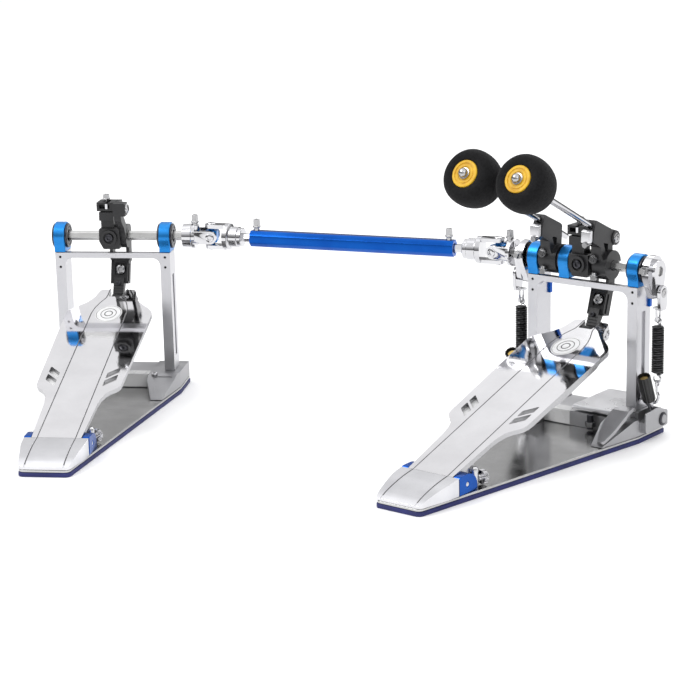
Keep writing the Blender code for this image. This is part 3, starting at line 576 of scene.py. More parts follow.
def shoulder(sign):
    """The bridge under a post: a wedge with a sunken panel in its slope."""
    slope = [(-0.074, DECK), (-0.07, 0.009), (-0.024, 0.024), (0.031, 0.024), (0.031, DECK)]
    body = slab("YZ", rounded(slope, 0.0015, 3), sign * 0.0375, sign * 0.0754)
    half = mm((37, 40), (37, -34), (50, -76), (61, -76), (70.4, -18), (70.4, 40))
    plan = [(sign * x, y) for x, y in half]
    body = keep(body, slab("XY", rounded(plan, 0.003, 4), 0.0, 0.04))
    panel = [(sign * 0.043, -0.03), (sign * 0.052, -0.064), (sign * 0.059, -0.064),
             (sign * 0.065, -0.03)]
    crest = -0.024
    lean = Matrix.Translation((0, crest, 0.0233)) @ Matrix.Rotation(math.atan2(0.015, 0.046), 4, "X")
    return cut(body, slab("XY", rounded(panel, 0.003, 4), 0.0, 0.0012,
                          lean @ Matrix.Translation((0, -crest, 0))))


def make_bridge(kit, is_main):
    bridge = box((-0.045, -0.0213, DECK), (0.045, 0.031, 0.0222))
    bridge = join(bridge, shoulder(1), shoulder(-1))
    if is_main:
        tower = rounded(mm((-15, 10), (-15, 31), (14, 31), (19, 26), (28, 26), (28, 10)), 0.003, 4)
        for sign in (-1, 1):
            bridge = join(bridge, slab("YZ", tower, sign * 0.064, sign * 0.0765))
            bridge = cut(bridge, box((sign * TOWER_X - 0.0038, -0.017, 0.021),
                                     (sign * TOWER_X + 0.0038, 0.0125, 0.04)))
        bridge = join(bridge, box((-0.02, 0.028, DECK), (0.04, 0.058, 0.011)))
    kit.add(bridge, "bridge", "cast", bevel=0.0008, node="base_bridge")
    end = -0.0075 if is_main else 0.045
    kit.add(box((-0.045, -0.0221, 0.0078), (end, -0.008, 0.0228)), "bridge_face", "enamel", bevel=0.0008)


def make_heel(kit):
    front = -0.3212
    seam = SEAM_Y - GAP / 2
    crown = mm((-317, 11.9), (-313, 13.8), (-307, 16), (-301, 17.9), (-294, 19.9), (-287, 21.6), (-279, 23.1))
    crown = [(front, 0.0095)] + crown + [(seam, SEAM_Z)]
    heel = slab("YZ", [(front, DECK)] + crown + [(seam, DECK)], -0.04, 0.04)
    plan = mirrored(arc((0.0205, -0.3157), 0.0053, -90, -12, 6) + [(0.0315, -0.286), (0.033, -0.26)])
    heel = keep(heel, slab("XY", plan, 0.0, 0.04))
    for sign, hand in SIDES:
        heel = cut(heel, tube([(sign * GROOVE_X, y, z + 0.0002) for y, z in crown], 0.0007, 6))
        # painted shade: a dark strip in the groove stands for the shade inside it
        groove_shade = [(sign * GROOVE_X, y, z) for y, z in crown[1:]]
        kit.add(tube(groove_shade, 0.00048, 6), "heel_groove_" + hand[0], "groove")
    kit.add(heel, "heel", "polished", bevel=0.0012, segments=3, angle=50, node="heel_plate")


def make_hinge(kit, sign, hand):
    outline = [(SEAM_Y + GAP, DECK), (SEAM_Y + GAP, 0.0215)] + arc((-0.268, 0.022), 0.003, 180, 100, 3)
    outline += arc((-0.257, 0.011), 0.0142, 95, 5, 16) + [(-0.2428, DECK)]
    block = slab("YZ", outline, sign * 0.0258, sign * 0.033)
    block = join(block, bar(sign * 0.0262, sign * 0.013, HINGE, 0.0028))
    block = cut(block, bar(sign * 0.0322, sign * 0.035, HINGE, 0.0026))
    kit.add(block, "hinge_" + hand, "deep_blue", bevel=0.0006, node="hinge_block_" + hand)
    kit.screw((sign * 0.0321, *HINGE), (sign, 0, 0), 0.0022, 0.0008, "hinge_pin_" + hand, socket=False)
    # rounded lug and knurled thumb screw that lock the heel's hinge
    lug = mm((0, 0), (4.2, 0), (4.2, 15), (3.6, 17.6), (2.2, 18.8), (0, 19))
    kit.add(lathe((sign * 0.0255, -0.238, 0.0071), (0, 0, 1), lug, 40), "hinge_lug_" + hand, "satin")
    start = Vector((sign * 0.0275, -0.235, 0.0145))
    out = Vector((sign * 0.25, 0.97, 0)).normalized()
    turn = Matrix.Translation(start) @ facing(out)
    wheel = slab("XY", ridged(56, 0.0062, 0.007, 2, 1), 0.004, 0.0085, turn)
    wheel = cut(wheel, rod(start + out * 0.0078, start + out * 0.02, 0.0045))
    wheel = join(wheel, rod(start, start + out * 0.0082, 0.0034))
    kit.add(wheel, "thumb_screw_" + hand, "chrome", bevel=0.0002)


def make_base(pedal):
    is_main = pedal == "main"
    kit = Kit(pedal + "_", "base", PLACES[pedal])
    # the two long sheets are placed in their meshes, so that their boxes stay tight
    flat = Kit(pedal + "_", "base")
    pad = slab("XY", base_outline(), 0.0, 0.0042, kit.place)
    plate = slab("XY", base_outline(0.0006), 0.0045, 0.007, kit.place)
    flat.add(pad, "pad", "navy", bevel=0.0007, node="base_pad")
    flat.add(plate, "plate", "plate" if is_main else "plate_slave", bevel=0.0006, node="base_plate")
    make_bridge(kit, is_main)
    make_heel(kit)
    for sign, hand in SIDES:
        make_hinge(kit, sign, hand)
    for sign, hand in SIDES:
        kit.screw((sign * 0.044, -0.027, 0.0236), (0, -0.2, 1), 0.0034, 0.0018, "bridge_screw_" + hand[0])


# ---- frame, housings and bearings ---------------------------------------------------------------
def make_frame(pedal):
    kit = Kit(pedal + "_", "base", PLACES[pedal])
    inner, outer, foot = 0.0525, 0.0635, 0.0243
    right = box((inner, -POST_DEPTH, foot), (outer, POST_DEPTH, POST_TOP))
    left = box((-outer, -POST_DEPTH, foot), (-inner, POST_DEPTH, POST_TOP))
    half = arc((0.044, 0.141), 0.0085, 90, 0, 12) + [(0.0555, 0.141), (0.0555, POST_TOP)]
    whole = join(right, slab("XZ", mirrored(half), -POST_DEPTH, -0.0052), left)
    for sign, hand in SIDES:
        x = sign * POST_X
        for height in (0.1395, 0.1505):
            whole = cut(whole, rod((x, -0.014, height), (x, -0.0095, height), 0.0014, sides=24))
            # painted shade: a black disc sits inside each hole where the hole's own shade would be
            kit.add(rod((x, -0.0124, height), (x, -0.0097, height), 0.0013, sides=24),
                    "post_hole_%s_%d" % (hand[0], height * 10000), "hole")
        slot = sign * 0.0645
        whole = cut(whole, box((slot - 0.003, -0.0035, 0.04), (slot + 0.003, 0.0035, 0.13)))
    kit.add(whole, "posts", "satin_post", bevel=0.0007, segments=3, node="frame")
    if pedal == "main":
        shape = rounded(mm((-1.2, 133), (1.2, 133), (1.2, 145), (-1.2, 145)), 0.0006, 3)
        for hand, x in (("left", -0.0515), ("right", 0.0645)):
            tab = slab("XZ", shape, 0.0082, 0.0125, Matrix.Translation((x, 0, 0)))
            kit.add(tab, "post_tab_" + hand, "deep_blue", bevel=0.0004)
    # a small plate under the middle of the crossbar
    stop = box((-0.0035, -0.01305, 0.15), (0.0035, -0.011, 0.1549))
    kit.add(stop, "bar_stop", "satin_post", bevel=0.0003)


def make_housing(pedal, hand, x):
    kit = Kit(pedal + "_", "base", PLACES[pedal])
    low = POST_TOP + GAP
    wide, shoulder_z = 0.0126, 0.16
    outline = [(-wide, low), (wide, low), (wide, shoulder_z)]
    outline += arc(AXLE, 0.015, -25, 205, 40) + [(-wide, shoulder_z)]
    housing = cut(slab("YZ", outline, x - 0.006, x + 0.006), bar(x - 0.02, x + 0.02, AXLE, 0.0114, 56))
    kit.add(housing, "bearing_house_" + hand, "blue", bevel=0.0009, segments=3, node="housing_" + hand)
    rim = mm((10.8, 6.3), (13.2, 6.3), (13.2, 7.7), (12.6, 8.2))
    face = mm((10.5, 8.2), (10.3, 7.6), (9.2, 7.6), (9, 8), (7, 8), (6.4, 7.4))
    ring = [(r, -d) for r, d in reversed(rim)] + rim + face + [(r, -d) for r, d in reversed(face)]
    kit.add(lathe((x, *AXLE), (1, 0, 0), ring, 56), "bearing_ring_" + hand, "dark", node="bearing_" + hand)


# ---- footboards and links -----------------------------------------------------------------------
def along(y):
    """How far up the board's slope a place is."""
    return (y - SEAM_Y) * STRETCH


def under(places):
    """Points at a depth under the board's upper face, from (y, depth)."""
    return [(y, SEAM_Z + (y - SEAM_Y) * math.tan(SLOPE) - depth) for y, depth in places]


def window(sign, near, far, margin=0.0):
    """A slanted window of the board, from its near to its far share of the pair's length."""
    corners = []
    outer, inner = WINDOW_OUT + margin, WINDOW_IN - margin
    for x, share in ((outer, near), (outer, far), (inner, far), (inner, near)):
        y = WINDOW_Y - WINDOW_LONG * share - (WINDOW_OUT - x) * WINDOW_RAKE
        corners.append((sign * x, along(y)))
    return corners


def make_board(kit):
    half = mm((26.8, -225), (27.3, -212), (28.8, -202), (31.6, -194), (35.2, -189), (39.5, -185.5),
              (42.4, -182.2), (43.7, -179), (44.2, -174), (47.4, -42), (46.8, -38.5), (45, -34.5),
              (41.5, -30), (35, -24), (29, -18), (25, -11.5), (22.6, -5), (21.2, 1), (20.2, 5.5),
              (18.8, 7.8), (16.5, 8.5), (9, 8.5), (8.2, 7.5), (8, -4.8), (6.8, -6))
    half.insert(0, (0.025, SEAM_Y + GAP / 2))
    board = slab("XY", mirrored([(x, along(y)) for x, y in half]), -0.0046, 0.0, TILT)
    skirt = under(mm((-175, 6), (-165, 7), (-130, 7.5), (-120, 10), (-55, 10.5), (-45, 8), (-45, 3),
                     (-175, 3)))
    ear = under(mm((-30, 3.5), (-30, 6.5))) + arc(TOE, 0.0072, 240, 370, 16) + under(mm((7, 2), (5, 3)))
    line = [(GROOVE_X, SEAM_Y - 0.002), (GROOVE_X, -0.04)]
    line += mm((18, -30), (15, -20), (12, -13), (10, -8), (9.5, -2), (9.5, 10))
    for sign, hand in SIDES:
        board = join(board, slab("YZ", skirt, sign * 0.0405, sign * 0.0432))
        board = join(board, slab("YZ", ear, sign * 0.0086, sign * 0.0196))
        for near, far in ((0.0, 0.42), (0.55, 1.0)):
            board = cut(board, slab("XY", rounded(window(sign, near, far), 0.0008, 2), -0.02, 0.02, TILT))
        tray = slab("XY", window(sign, -0.04, 1.04, 0.0006), -0.0058, -0.0049, TILT)
        kit.add(tray, "board_tray_" + hand[0], "enamel")
        path = [TILT @ Vector((sign * x, along(y), 0.0001)) for x, y in line]
        board = cut(board, tube(path, 0.00065, 6))
        # painted shade: a dark strip in the groove stands for the shade inside it
        groove_shade = tube([point - Vector((0, 0, 0.0004)) for point in path], 0.00052, 6)
        kit.add(groove_shade, "board_groove_" + hand[0], "groove")
    web = under([(HINGE_Y - 0.0085, 0.003), (HINGE_Y + 0.03, 0.003)])
    web += [(HINGE_Y + 0.006, HINGE_Z - 0.002), (HINGE_Y - 0.006, HINGE_Z - 0.002)]
    board = join(board, slab("YZ", web, -0.024, 0.024), bar(-0.0244, 0.0244, HINGE, 0.0062, 40))
    board = cut(board, bar(-0.03, 0.03, HINGE, 0.0032))
    board = join(board, bar(-0.01, 0.01, TOE, 0.0028))
    kit.add(board, "board", "board", bevel=0.0005, angle=40, node="footboard")


def make_medallion(kit):
    """A plain oval with rings on the toe, where the real one has its mark."""
    middle = along(-0.0415)

    def oval(radii, low, high):
        points = [round_point(1, i, 64) for i in range(64)]
        return slab("XY", [(radii[0] * x, middle + radii[1] * y) for x, y in points], low, high, TILT)

    for name, look, outer, inner, low, high in (
            ("rim", "enamel", (0.0144, 0.0172), (0.0134, 0.0161), -0.0005, 0.0003),
            ("line", "hole", (0.0135, 0.0162), (0.0129, 0.0156), -0.0005, 0.00022),
            ("field", "enamel", (0.013, 0.0157), None, -0.0005, 0.0003),
            ("ring", "hole", (0.0086, 0.0104), (0.0079, 0.0096), 0.0001, 0.00045),
            ("core", "hole", (0.0046, 0.0056), (0.0036, 0.0045), 0.0001, 0.00045)):
        shape = oval(outer, low, high)
        if inner:
            shape = cut(shape, oval(inner, low - 0.01, high + 0.01))
        kit.add(shape, "medal_" + name, look, bevel=0.0002)


def make_footboard(pedal):
    kit = Kit(pedal + "_", pedal + "_footboard", PLACES[pedal])
    make_board(kit)
    make_medallion(kit)
    for sign, hand in SIDES:
        kit.screw((sign * 0.0196, *TOE), (sign, 0, 0), 0.0042, 0.0022, "toe_screw_" + hand)


def make_link(pedal):
    kit = Kit(pedal + "_", pedal + "_link", PLACES[pedal])
    rise = AXLE_Z - TOE_Z
    length = math.hypot(LINK_REACH - TOE_Y, rise)
    tilt = -math.atan2(LINK_REACH - TOE_Y, rise)
    lean = Matrix.Translation((0, *TOE)) @ Matrix.Rotation(tilt, 4, "X")
    profile = mm((4.6, 17.4), (15.6, 19), (15.6, 48), (4.6, 48))
    link = slab("YZ", rounded(profile, 0.0012, 3), -0.0098, 0.0098, lean)
    cheek = [(0.005, 0.044), (0.0152, 0.044)] + arc((0, length), 0.0078, 0, 195, 32)
    for sign in (-1, 1):
        link = join(link, slab("YZ", cheek, sign * 0.0074, sign * 0.011, lean))
    tongue = mm((-0.6, 3), (4.8, 2), (11, 18.5), (11, 24), (2, 24))
    link = join(link, slab("YZ", tongue, -0.0058, 0.0058, lean), bar(-0.0058, 0.0058, TOE, 0.0056, 40))
    pocket = rounded(mm((-5.2, 26.2), (7.2, 26.2), (7.2, 40.5), (-5.2, 40.5)), 0.003, 5)
    notch = mm((-9.8, 41), (-7.2, 41), (-7.2, 44), (-9.8, 44))
    edge = mm((8.8, 20), (10, 20), (10, 40), (8.8, 40))
    link = cut(link, bar(-0.02, 0.02, TOE, 0.0031), slab("XZ", pocket, 0.0, 0.0066, lean),
               slab("XZ", notch, 0.0, 0.007, lean), slab("XZ", edge, 0.0, 0.009, lean))
    for i in range(4):
        low = 0.0052 + 0.003 * i
        link = cut(link, box((-0.007, -0.003, low), (0.007, 0.0004 + 0.0004 * i, low + 0.001), lean))
    kit.add(link, "link_body", "black", bevel=0.0005, node="link")
    out = lean.to_3x3() @ Vector((0, -1, 0))
    kit.screw(lean @ Vector((0.001, 0.0064, 0.0332)), out, 0.0056, 0.004, "link_screw", "stainless")
    kit.screw(lean @ Vector((0.0, -0.0004, 0.0175)), out, 0.0024, 0.001, "link_low_screw", "dark")
    for sign, hand in SIDES:
        eye = lean @ Vector((sign * 0.011, 0, length))
        kit.screw(eye, (sign, 0, 0), 0.004, 0.0012, "link_pin_" + hand, "dark")


# ---- cams, holders and beaters ------------------------------------------------------------------
def axle_bore(start, end):
    return hexagon((start, *AXLE), (end, *AXLE), AXLE_FLATS + 2 * GAP)


def cam_shape():
    block = rounded(mm((-7.8, 160.5), (10, 160.5), (10.6, 170), (10, 183), (-12, 183),
                       (-12.4, 169)), 0.0016, 4)
    tongue = arc(AXLE, 0.0142, 100, 260, 24) + arc((LINK_REACH, AXLE_Z), 0.0068, -80, 80, 16)
    cam = join(slab("XZ", block, -0.018, -0.002), slab("YZ", tongue, -0.0068, 0.0068),
               box((-0.01, -0.015, 0.18), (0.004, -0.004, 0.205)),
               box((-0.0106, -0.02, 0.192), (0.0052, -0.003, 0.201)),
               box((-0.013, -0.019, 0.2022), (0.0108, 0.001, 0.2116)),
               rod((-0.001, -0.017, 0.173), (-0.001, -0.0208, 0.173), 0.0086, sides=56))
    return cut(cam, box((-0.0102, -0.025, 0.205), (0.001, -0.013, 0.2094)),
               rod((-0.001, -0.0186, 0.173), (-0.001, -0.03, 0.173), 0.006, sides=48),
               box((-0.003, -0.025, 0.2086), (0.0, -0.001, 0.22)),
               box((0.0066, -0.025, 0.204), (0.0072, 0.02, 0.22)))


def make_cam(pedal, body):
    kit = Kit(pedal + "_", body, PLACES[pedal])
    cam = cam_shape()
    if pedal == "slave":
        # the slave's cam carries an empty clamp for a beater rod
        leg = mm((-31, 200), (-21.5, 200), (-6, 184), (5, 174), (-12, 170), (-17.5, 183), (-30, 193))
        cam = join(cam, slab("YZ", leg, 0.0084, 0.016), box((0.008, -0.033, 0.199), (0.021, -0.02, 0.2128)),
                   bar(0, 0.016, AXLE, 0.013, 48))
        cam = cut(cam, axle_bore(-0.03, 0.04), box((0.0, -0.0265, 0.205), (0.018, -0.0255, 0.22)))
        kit.screw((0.021, -0.0262, 0.2062), (1, 0, 0), 0.0056, 0.003, "rod_clamp_bolt", "stainless")
    else:
        cam = cut(cam, axle_bore(-0.03, 0.03))
    kit.add(cam, "cam_body", "black", bevel=0.0006, segments=3, node="cam")
    kit.screw((-0.001, -0.0187, 0.173), (0, -1, 0), 0.0046, 0.0026, "cam_screw", "dark")
    kit.key_bolt((-0.0048, -0.007, 0.211), (0, 0, 1), "cam_key", 0.0078)
    shank = rod((-0.0022, -0.0168, 0.2046), (-0.0022, -0.0168, 0.21), 0.0026, sides=24)
    kit.add(shank, "cam_key_shank", "chrome")


def rod_axis(along_rod, x):
    """A point of a beater's rod, at a distance from the one nearest the axle."""
    back = math.cos(ROD_LEAN)
    up = math.sin(ROD_LEAN)
    return Vector((x, -up * along_rod + back * ROD_OFFSET, AXLE_Z + back * along_rod + up * ROD_OFFSET))


def make_holder(hand, body, x, hub_low, hub_high):
    kit = Kit(hand + "_", body)
    outline = [(-0.0259, 0.2208), (0.0033, 0.2075)]
    if hand == "right":
        outline += arc(LOBE, 0.0074, 80, -60, 20) + [(0.0048, 0.1907)]
    else:
        outline += [(0.0056, 0.2058), (0.0062, 0.204)]
    outline += mm((5, 186), (11, 180), (11, 174), (-11, 174), (-16.6, 185), (-17.3, 192.3), (-31.8, 199.8),
                  (-30.9, 208.4))
    hollow = rounded(mm((-12.7, 196.5), (-8.7, 187.2), (-4.6, 185.7), (-3.8, 193.9)), 0.0012, 4)
    holder = cut(slab("YZ", outline, x - HOLDER_HALF, x + HOLDER_HALF),
                 rod(rod_axis(-0.02, x), rod_axis(0.08, x), ROD_R + GAP, sides=32),
                 slab("YZ", hollow, x - 0.02, x + 0.02))
    holder = join(holder, bar(hub_low, hub_high, AXLE, 0.015, 64))
    holder = cut(holder, axle_bore(hub_low - 0.01, hub_high + 0.01))
    kit.add(holder, "holder", "black", bevel=0.0014, segments=4, node="beater_holder")
    if hand == "right":
        lobe, out = Vector((x + HOLDER_HALF, *LOBE)), Vector((1, 0, 0))
        cap = mm((0, 0), (7.2, 0), (7.2, 1.2), (6.6, 1.8), (0, 1.8))
        kit.add(lathe(lobe - out * 0.0004, out, cap, 48), "holder_cap", "black")
        kit.screw(lobe + out * 0.0012, out, 0.005, 0.0014, "holder_screw", "stainless")
    pad = rounded(mm((-35.8, 210.5), (-31.6, 212.2), (-32, 200.2), (-36.6, 199)), 0.0012, 4)
    kit.add(slab("YZ", pad, x - 0.0056, x + 0.005), "holder_block", "satin", bevel=0.0012, segments=4)
    kit.add(rod((x - 0.0004, -0.0385, 0.1975), (x - 0.0004, -0.029, 0.1985), 0.003),
            "block_screw", "bolt", bevel=0.0004)
    kit.key_bolt((x - 0.0034, -0.015, 0.1655), (0.05, -0.3, -1.0), "holder_key", 0.0078)
    kit.key_bolt((x - 0.0038, -0.015, 0.179), (0.0, -1.0, 0.25), "holder_top_key", 0.005, "bolt")


def make_beater(hand, body, x):
    kit = Kit(hand + "_", body)
    tip = rod_axis(HEAD_TIP, x)
    back = rod_axis(0.0, x) - tip
    front = -back.normalized()
    shaft = [(0, 0), (0.0026, 0), (ROD_R, 0.0008), (ROD_R, 0.1935), (0, 0.1935)]
    kit.add(lathe(rod_axis(-0.012, x), -back, shaft, 32), "rod", "chrome", node="beater_rod")
    head = mm((3.6, 4.5), (13.9, 4.5), (13.9, 1.6), (15, 1), (18, 0.3), (20.5, 0.4), (22.2, 1.2),
              (23.6, 2.3), (24.9, 3.8), (26, 5.6), (26.7, 7.5), (27.2, 10), (27.5, 12.5), (27.6, 16),
              (27.5, 19), (27.1, 22.5), (26.4, 25.8), (25.5, 29), (24.3, 32), (22.9, 34.5), (21.5, 36.6),
              (20.3, 37.9), (19, 38.7), (17, 39), (10, 39), (3.6, 39))
    kit.add(lathe(tip, back, head, 96), "head", "felt", node="beater_head", smooth=60)
    rings = mm((0, 0.5), (4.8, 0.5), (5.2, 1.2), (6.8, 1.2), (7.1, 0.5), (9.1, 0.5), (9.4, 1.1),
               (10.4, 1.1), (10.7, 0.3), (12.7, 0.3), (13.4, 0.9), (13.4, 4), (0, 4))
    kit.add(lathe(tip, back, rings, 64), "disc", "yellow", node="beater_disc")
    dome = mm((0, 0), (5.6, 0), (5.6, 0.7), (4.5, 0.9), (4.5, 3), (4, 4.4), (2.8, 5.6), (1.2, 6.2),
              (0, 6.3))
    kit.add(lathe(tip - front * 0.0006, front, dome, 32), "acorn", "stainless")
    kit.nut(tip, front, 0.0082, 0.003, "acorn_nut", "bolt")
    collar = mm((0, 0), (5, 0), (5.6, 0.6), (5.6, 4), (5, 4.6), (0, 4.6))
    kit.add(lathe(rod_axis(HEAD_TIP - 0.0392, x), back, collar, 32), "head_collar", "chrome")


# ---- springs ------------------------------------------------------------------------------------
def make_rocker(hand, body, sign):
    kit = Kit(hand + "_", body)
    pear = arc(AXLE, 0.015, -25, 205, 40) + arc((0, AXLE_Z - 0.025), 0.0035, 200, 340, 10)
    rocker = slab("YZ", pear, sign * 0.069, sign * 0.0765)
    arm = arc(AXLE, 0.011, -15, 195, 32) + arc((0, AXLE_Z - ROCKER_PIN), 0.0066, 195, 345, 16)
    rocker = join(rocker, slab("YZ", arm, sign * 0.076, sign * 0.0815))
    rocker = cut(rocker, axle_bore(sign * 0.06, sign * 0.09))
    kit.add(rocker, "rocker", "chrome", bevel=0.0008, segments=3, node="spring_rocker")
    kit.key_bolt((sign * 0.0728, -0.0145, AXLE_Z + 0.002), (0, -1, 0.1), "rocker_key", 0.0075)


def hook(x, end, way, drop, bend):
    """A wire from a coil's last turn to a hook of radius bend, whose centre is drop beyond the coil."""
    lead = [(x + 0.005, 0, end), (x + 0.004, 0, end + way * 0.0014), (x, 0, end + way * 0.0018)]
    angles = [math.pi * k / 8 for k in range(14)]
    return lead + [(x + bend * math.sin(a), 0, end + way * (drop - bend * math.cos(a))) for a in angles]


def make_coil(x, spring, stirrup):
    points = []
    for i in range(COIL_TURNS * COIL_STEPS + 1):
        across, deep = round_point(COIL_R, i, COIL_STEPS)
        points.append((x + across, deep, COIL_LOW + (COIL_HIGH - COIL_LOW) * i / (COIL_TURNS * COIL_STEPS)))
    coil = spring.add(tube(points, COIL_WIRE), "coil", "spring", node="spring")
    # painted shade: a black core inside the coil stands for the shade within its turns
    coil_shade = lathe((x, 0, COIL_LOW), (0, 0, 1), disc(0.0046, COIL_HIGH - COIL_LOW), 24)
    core = spring.add(coil_shade, "coil_shade_core", "hole")
    stirrup.add(tube(hook(x, COIL_HIGH, 1, 0.0052, 0.0034), 0.0009), "hook_top", "chrome")
    spring.add(tube(hook(x, COIL_LOW, -1, 0.006, 0.0038), 0.001), "hook_low", "chrome")
    # the coil and its core span from the spring to the stirrup; they are taken off their body, with their
    # place baked into their meshes
    for piece in (coil, core):
        world = piece.matrix_world.copy()
        piece.parent = None
        piece.matrix_world = world
        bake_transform(piece)


def make_spring(hand, sign):
    x = sign * SPRING_X
    spring = Kit(hand + "_", hand + "_spring")
    stirrup = Kit(hand + "_", hand + "_stirrup")
    make_coil(x, spring, stirrup)
    top = AXLE_Z - ROCKER_PIN
    outline = arc((0, top), 0.0074, -10, 190, 32)
    outline += mm((-6.6, 139), (-5, 133.7), (5, 133.7), (6.6, 139))
    near, far = sorted((sign * 0.0752, sign * 0.085))
    plate = join(slab("YZ", outline, sign * 0.0825, sign * 0.0861),
                 box((near, -0.0036, 0.1342), (far, 0.0036, 0.1362)))
    stirrup.add(plate, "stirrup_plate", "chrome", bevel=0.0007, segments=3, node="spring_stirrup")
    stirrup.screw((sign * 0.086, 0, top), (sign, 0, 0), 0.0048, 0.0006, "stirrup_screw", "stainless")
    half = mm((-3.4, 135.2), (-3.6, 132), (-3.2, 127), (-2.2, 122.8))
    loop = [(x, y, z) for y, z in half] + [(x, 0.0, 0.1208)] + [(x, -y, z) for y, z in reversed(half)]
    stirrup.add(tube(smooth_path(loop), 0.0011), "stirrup_loop", "chrome")


def make_adjuster(hand, sign, lean, reach):
    """A leaning stem in the tower with its knob, and the arm that holds the spring's lower hook."""
    base = Kit(hand + "_", "base")
    foot = Vector((sign * TOWER_X, 0.008, 0.022))
    up = Vector((0, -math.sin(lean), math.cos(lean)))
    tip = foot + up * reach
    stem = [(0, 0.003), (0.0018, 0.003), (0.002, 0.008), (0.0034, reach + 0.015),
            (0.0054, reach + 0.0185), (0.0056, reach + 0.02), (0.003, reach + 0.0202),
            (0.003, reach + 0.0415), (0.0024, reach + 0.042), (0, reach + 0.042)]
    base.add(lathe(foot, up, stem, 36), "adjuster_stem", "chrome", node="spring_anchor")
    level = foot + up * 0.0185
    outer = Vector((sign * SPRING_X, 0, HOOK_LOW - 0.005))
    bend = [level, Vector((sign * (SPRING_X - 0.002), level.y, level.z)),
            (level + outer) / 2 + Vector((sign * 0.0058, 0, 0)), outer, outer + Vector((0, 0, 0.006))]
    base.add(tube(smooth_path(bend), 0.0015, 10), "adjuster_arm", "chrome")
    ring = [round_point(0.0028, k, 20) for k in range(20)]
    eye = [outer + Vector((0.0, y, 0.008 + z)) for y, z in ring]
    base.add(tube(eye, 0.0011, closed=True), "adjuster_eye", "chrome")
    ribs = ridged(60, 0.0066, 0.0061, 5, 3)
    knob = slab("XY", ribs, 0.0, 0.0288, Matrix.Translation(tip + up * 0.0205) @ facing(up))
    knob = cut(knob, rod(tip + up * 0.019, tip + up * 0.055, 0.0034),
               rod(tip + up * 0.045, tip + up * 0.055, 0.0056, sides=40))
    Kit(hand + "_", hand + "_knob").add(knob, "knob", "rubber", bevel=0.0004, node="spring_knob")
    base.nut(tip + up * 0.043, up, 0.008, 0.004, "knob_nut", "brass")
    # boss and pin on the outside of the tower
    for name, look, radius, edge, height in (("boss", "dark", 0.0068, 0.001, 0.0014),
                                             ("pin", "cast", 0.0044, 0.002, 0.0026)):
        profile = [(0, 0), (radius, 0), (radius, edge), (radius - 0.0008, height), (0, height)]
        base.add(lathe((sign * 0.0764, 0.018, 0.018), (sign, 0, 0), profile, 40), "tower_" + name, look,
                 bevel=0.0003)


# ---- clamp --------------------------------------------------------------------------------------
def make_clamp():
    base = Kit("", "base")
    jaw_kit = Kit("", "clamp_jaw")
    profile = rounded(mm((-21.5, 24.6), (-21.5, 27.5), (-18.5, 28.8), (52, 28.8), (60, 26.2), (60, 23),
                         (48, 24.6)), 0.0008, 3)
    plan = rounded(mm((-5, -24), (49, -24), (49, 20), (34, 61), (-4, 61), (-6, 50)), 0.004, 5)
    jaw = keep(slab("YZ", profile, -0.006, 0.05), slab("XY", plan, 0.0, 0.05))
    jaw_kit.add(jaw, "jaw", "satin", bevel=0.0007, node="clamp_jaw")
    blade = mm((-18, 31), (-25, 34.5), (-33, 32.5), (-48, 23.5), (-62, 14.5), (-70, 10), (-71.2, 12.5),
               (-64, 17.2), (-50, 26.2), (-34.5, 36.2), (-25, 38.5), (-16.5, 34))
    leaf = rounded(mm((66.8, -15), (63.4, -15), (56, -23.5), (50, -34), (48.5, -48), (51, -62), (56, -73),
                      (62, -69), (66, -56), (68.5, -40), (68.6, -26)), 0.0035, 6)
    lever = keep(slab("YZ", rounded(blade, 0.0012, 4), 0.044, 0.07), slab("XY", leaf, 0.0, 0.06))
    lever = join(lever, bar(0.052, 0.064, (-0.025, 0.031), 0.0046, 40))
    Kit("", "clamp_lever").add(lever, "lever", "cast", bevel=0.001, segments=3, node="clamp_lever")
    jaw_kit.screw((0.0425, -0.015, 0.0286), (0, 0, 1), 0.0036, 0.0016, "jaw_screw", "stainless")
    x, y = 0.0195, -0.0262
    base.add(rod((x, y, 0.0085), (x, y, 0.0235), 0.0034), "jaw_stud", "dark", bevel=0.0004)
    base.add(hexagon((x, y, 0.011), (x, y, 0.0165), 0.0095, 0.4), "jaw_stud_nut", "bolt", bevel=0.0005)


# ---- axles, universal joints, drive shaft -------------------------------------------------------
def make_axle(name, body, start, end, place=MAIN):
    axle = hexagon((start, *AXLE), (end, *AXLE), AXLE_FLATS)
    Kit(name, body, place).add(axle, "_bar", "axle", bevel=0.0003, node="")


def fork_arm(centre, forward, across, sign):
    forward, across = Vector(forward), Vector(across)
    third = forward.cross(across)
    turn = Matrix((forward, third, across)).transposed().to_4x4()
    outline = arc((0, 0), 0.007, 90, 270, 24) + [(0.019, -0.007), (0.019, 0.007)]
    return slab("XY", outline, sign * 0.0092, sign * 0.0132, Matrix.Translation(centre) @ turn)


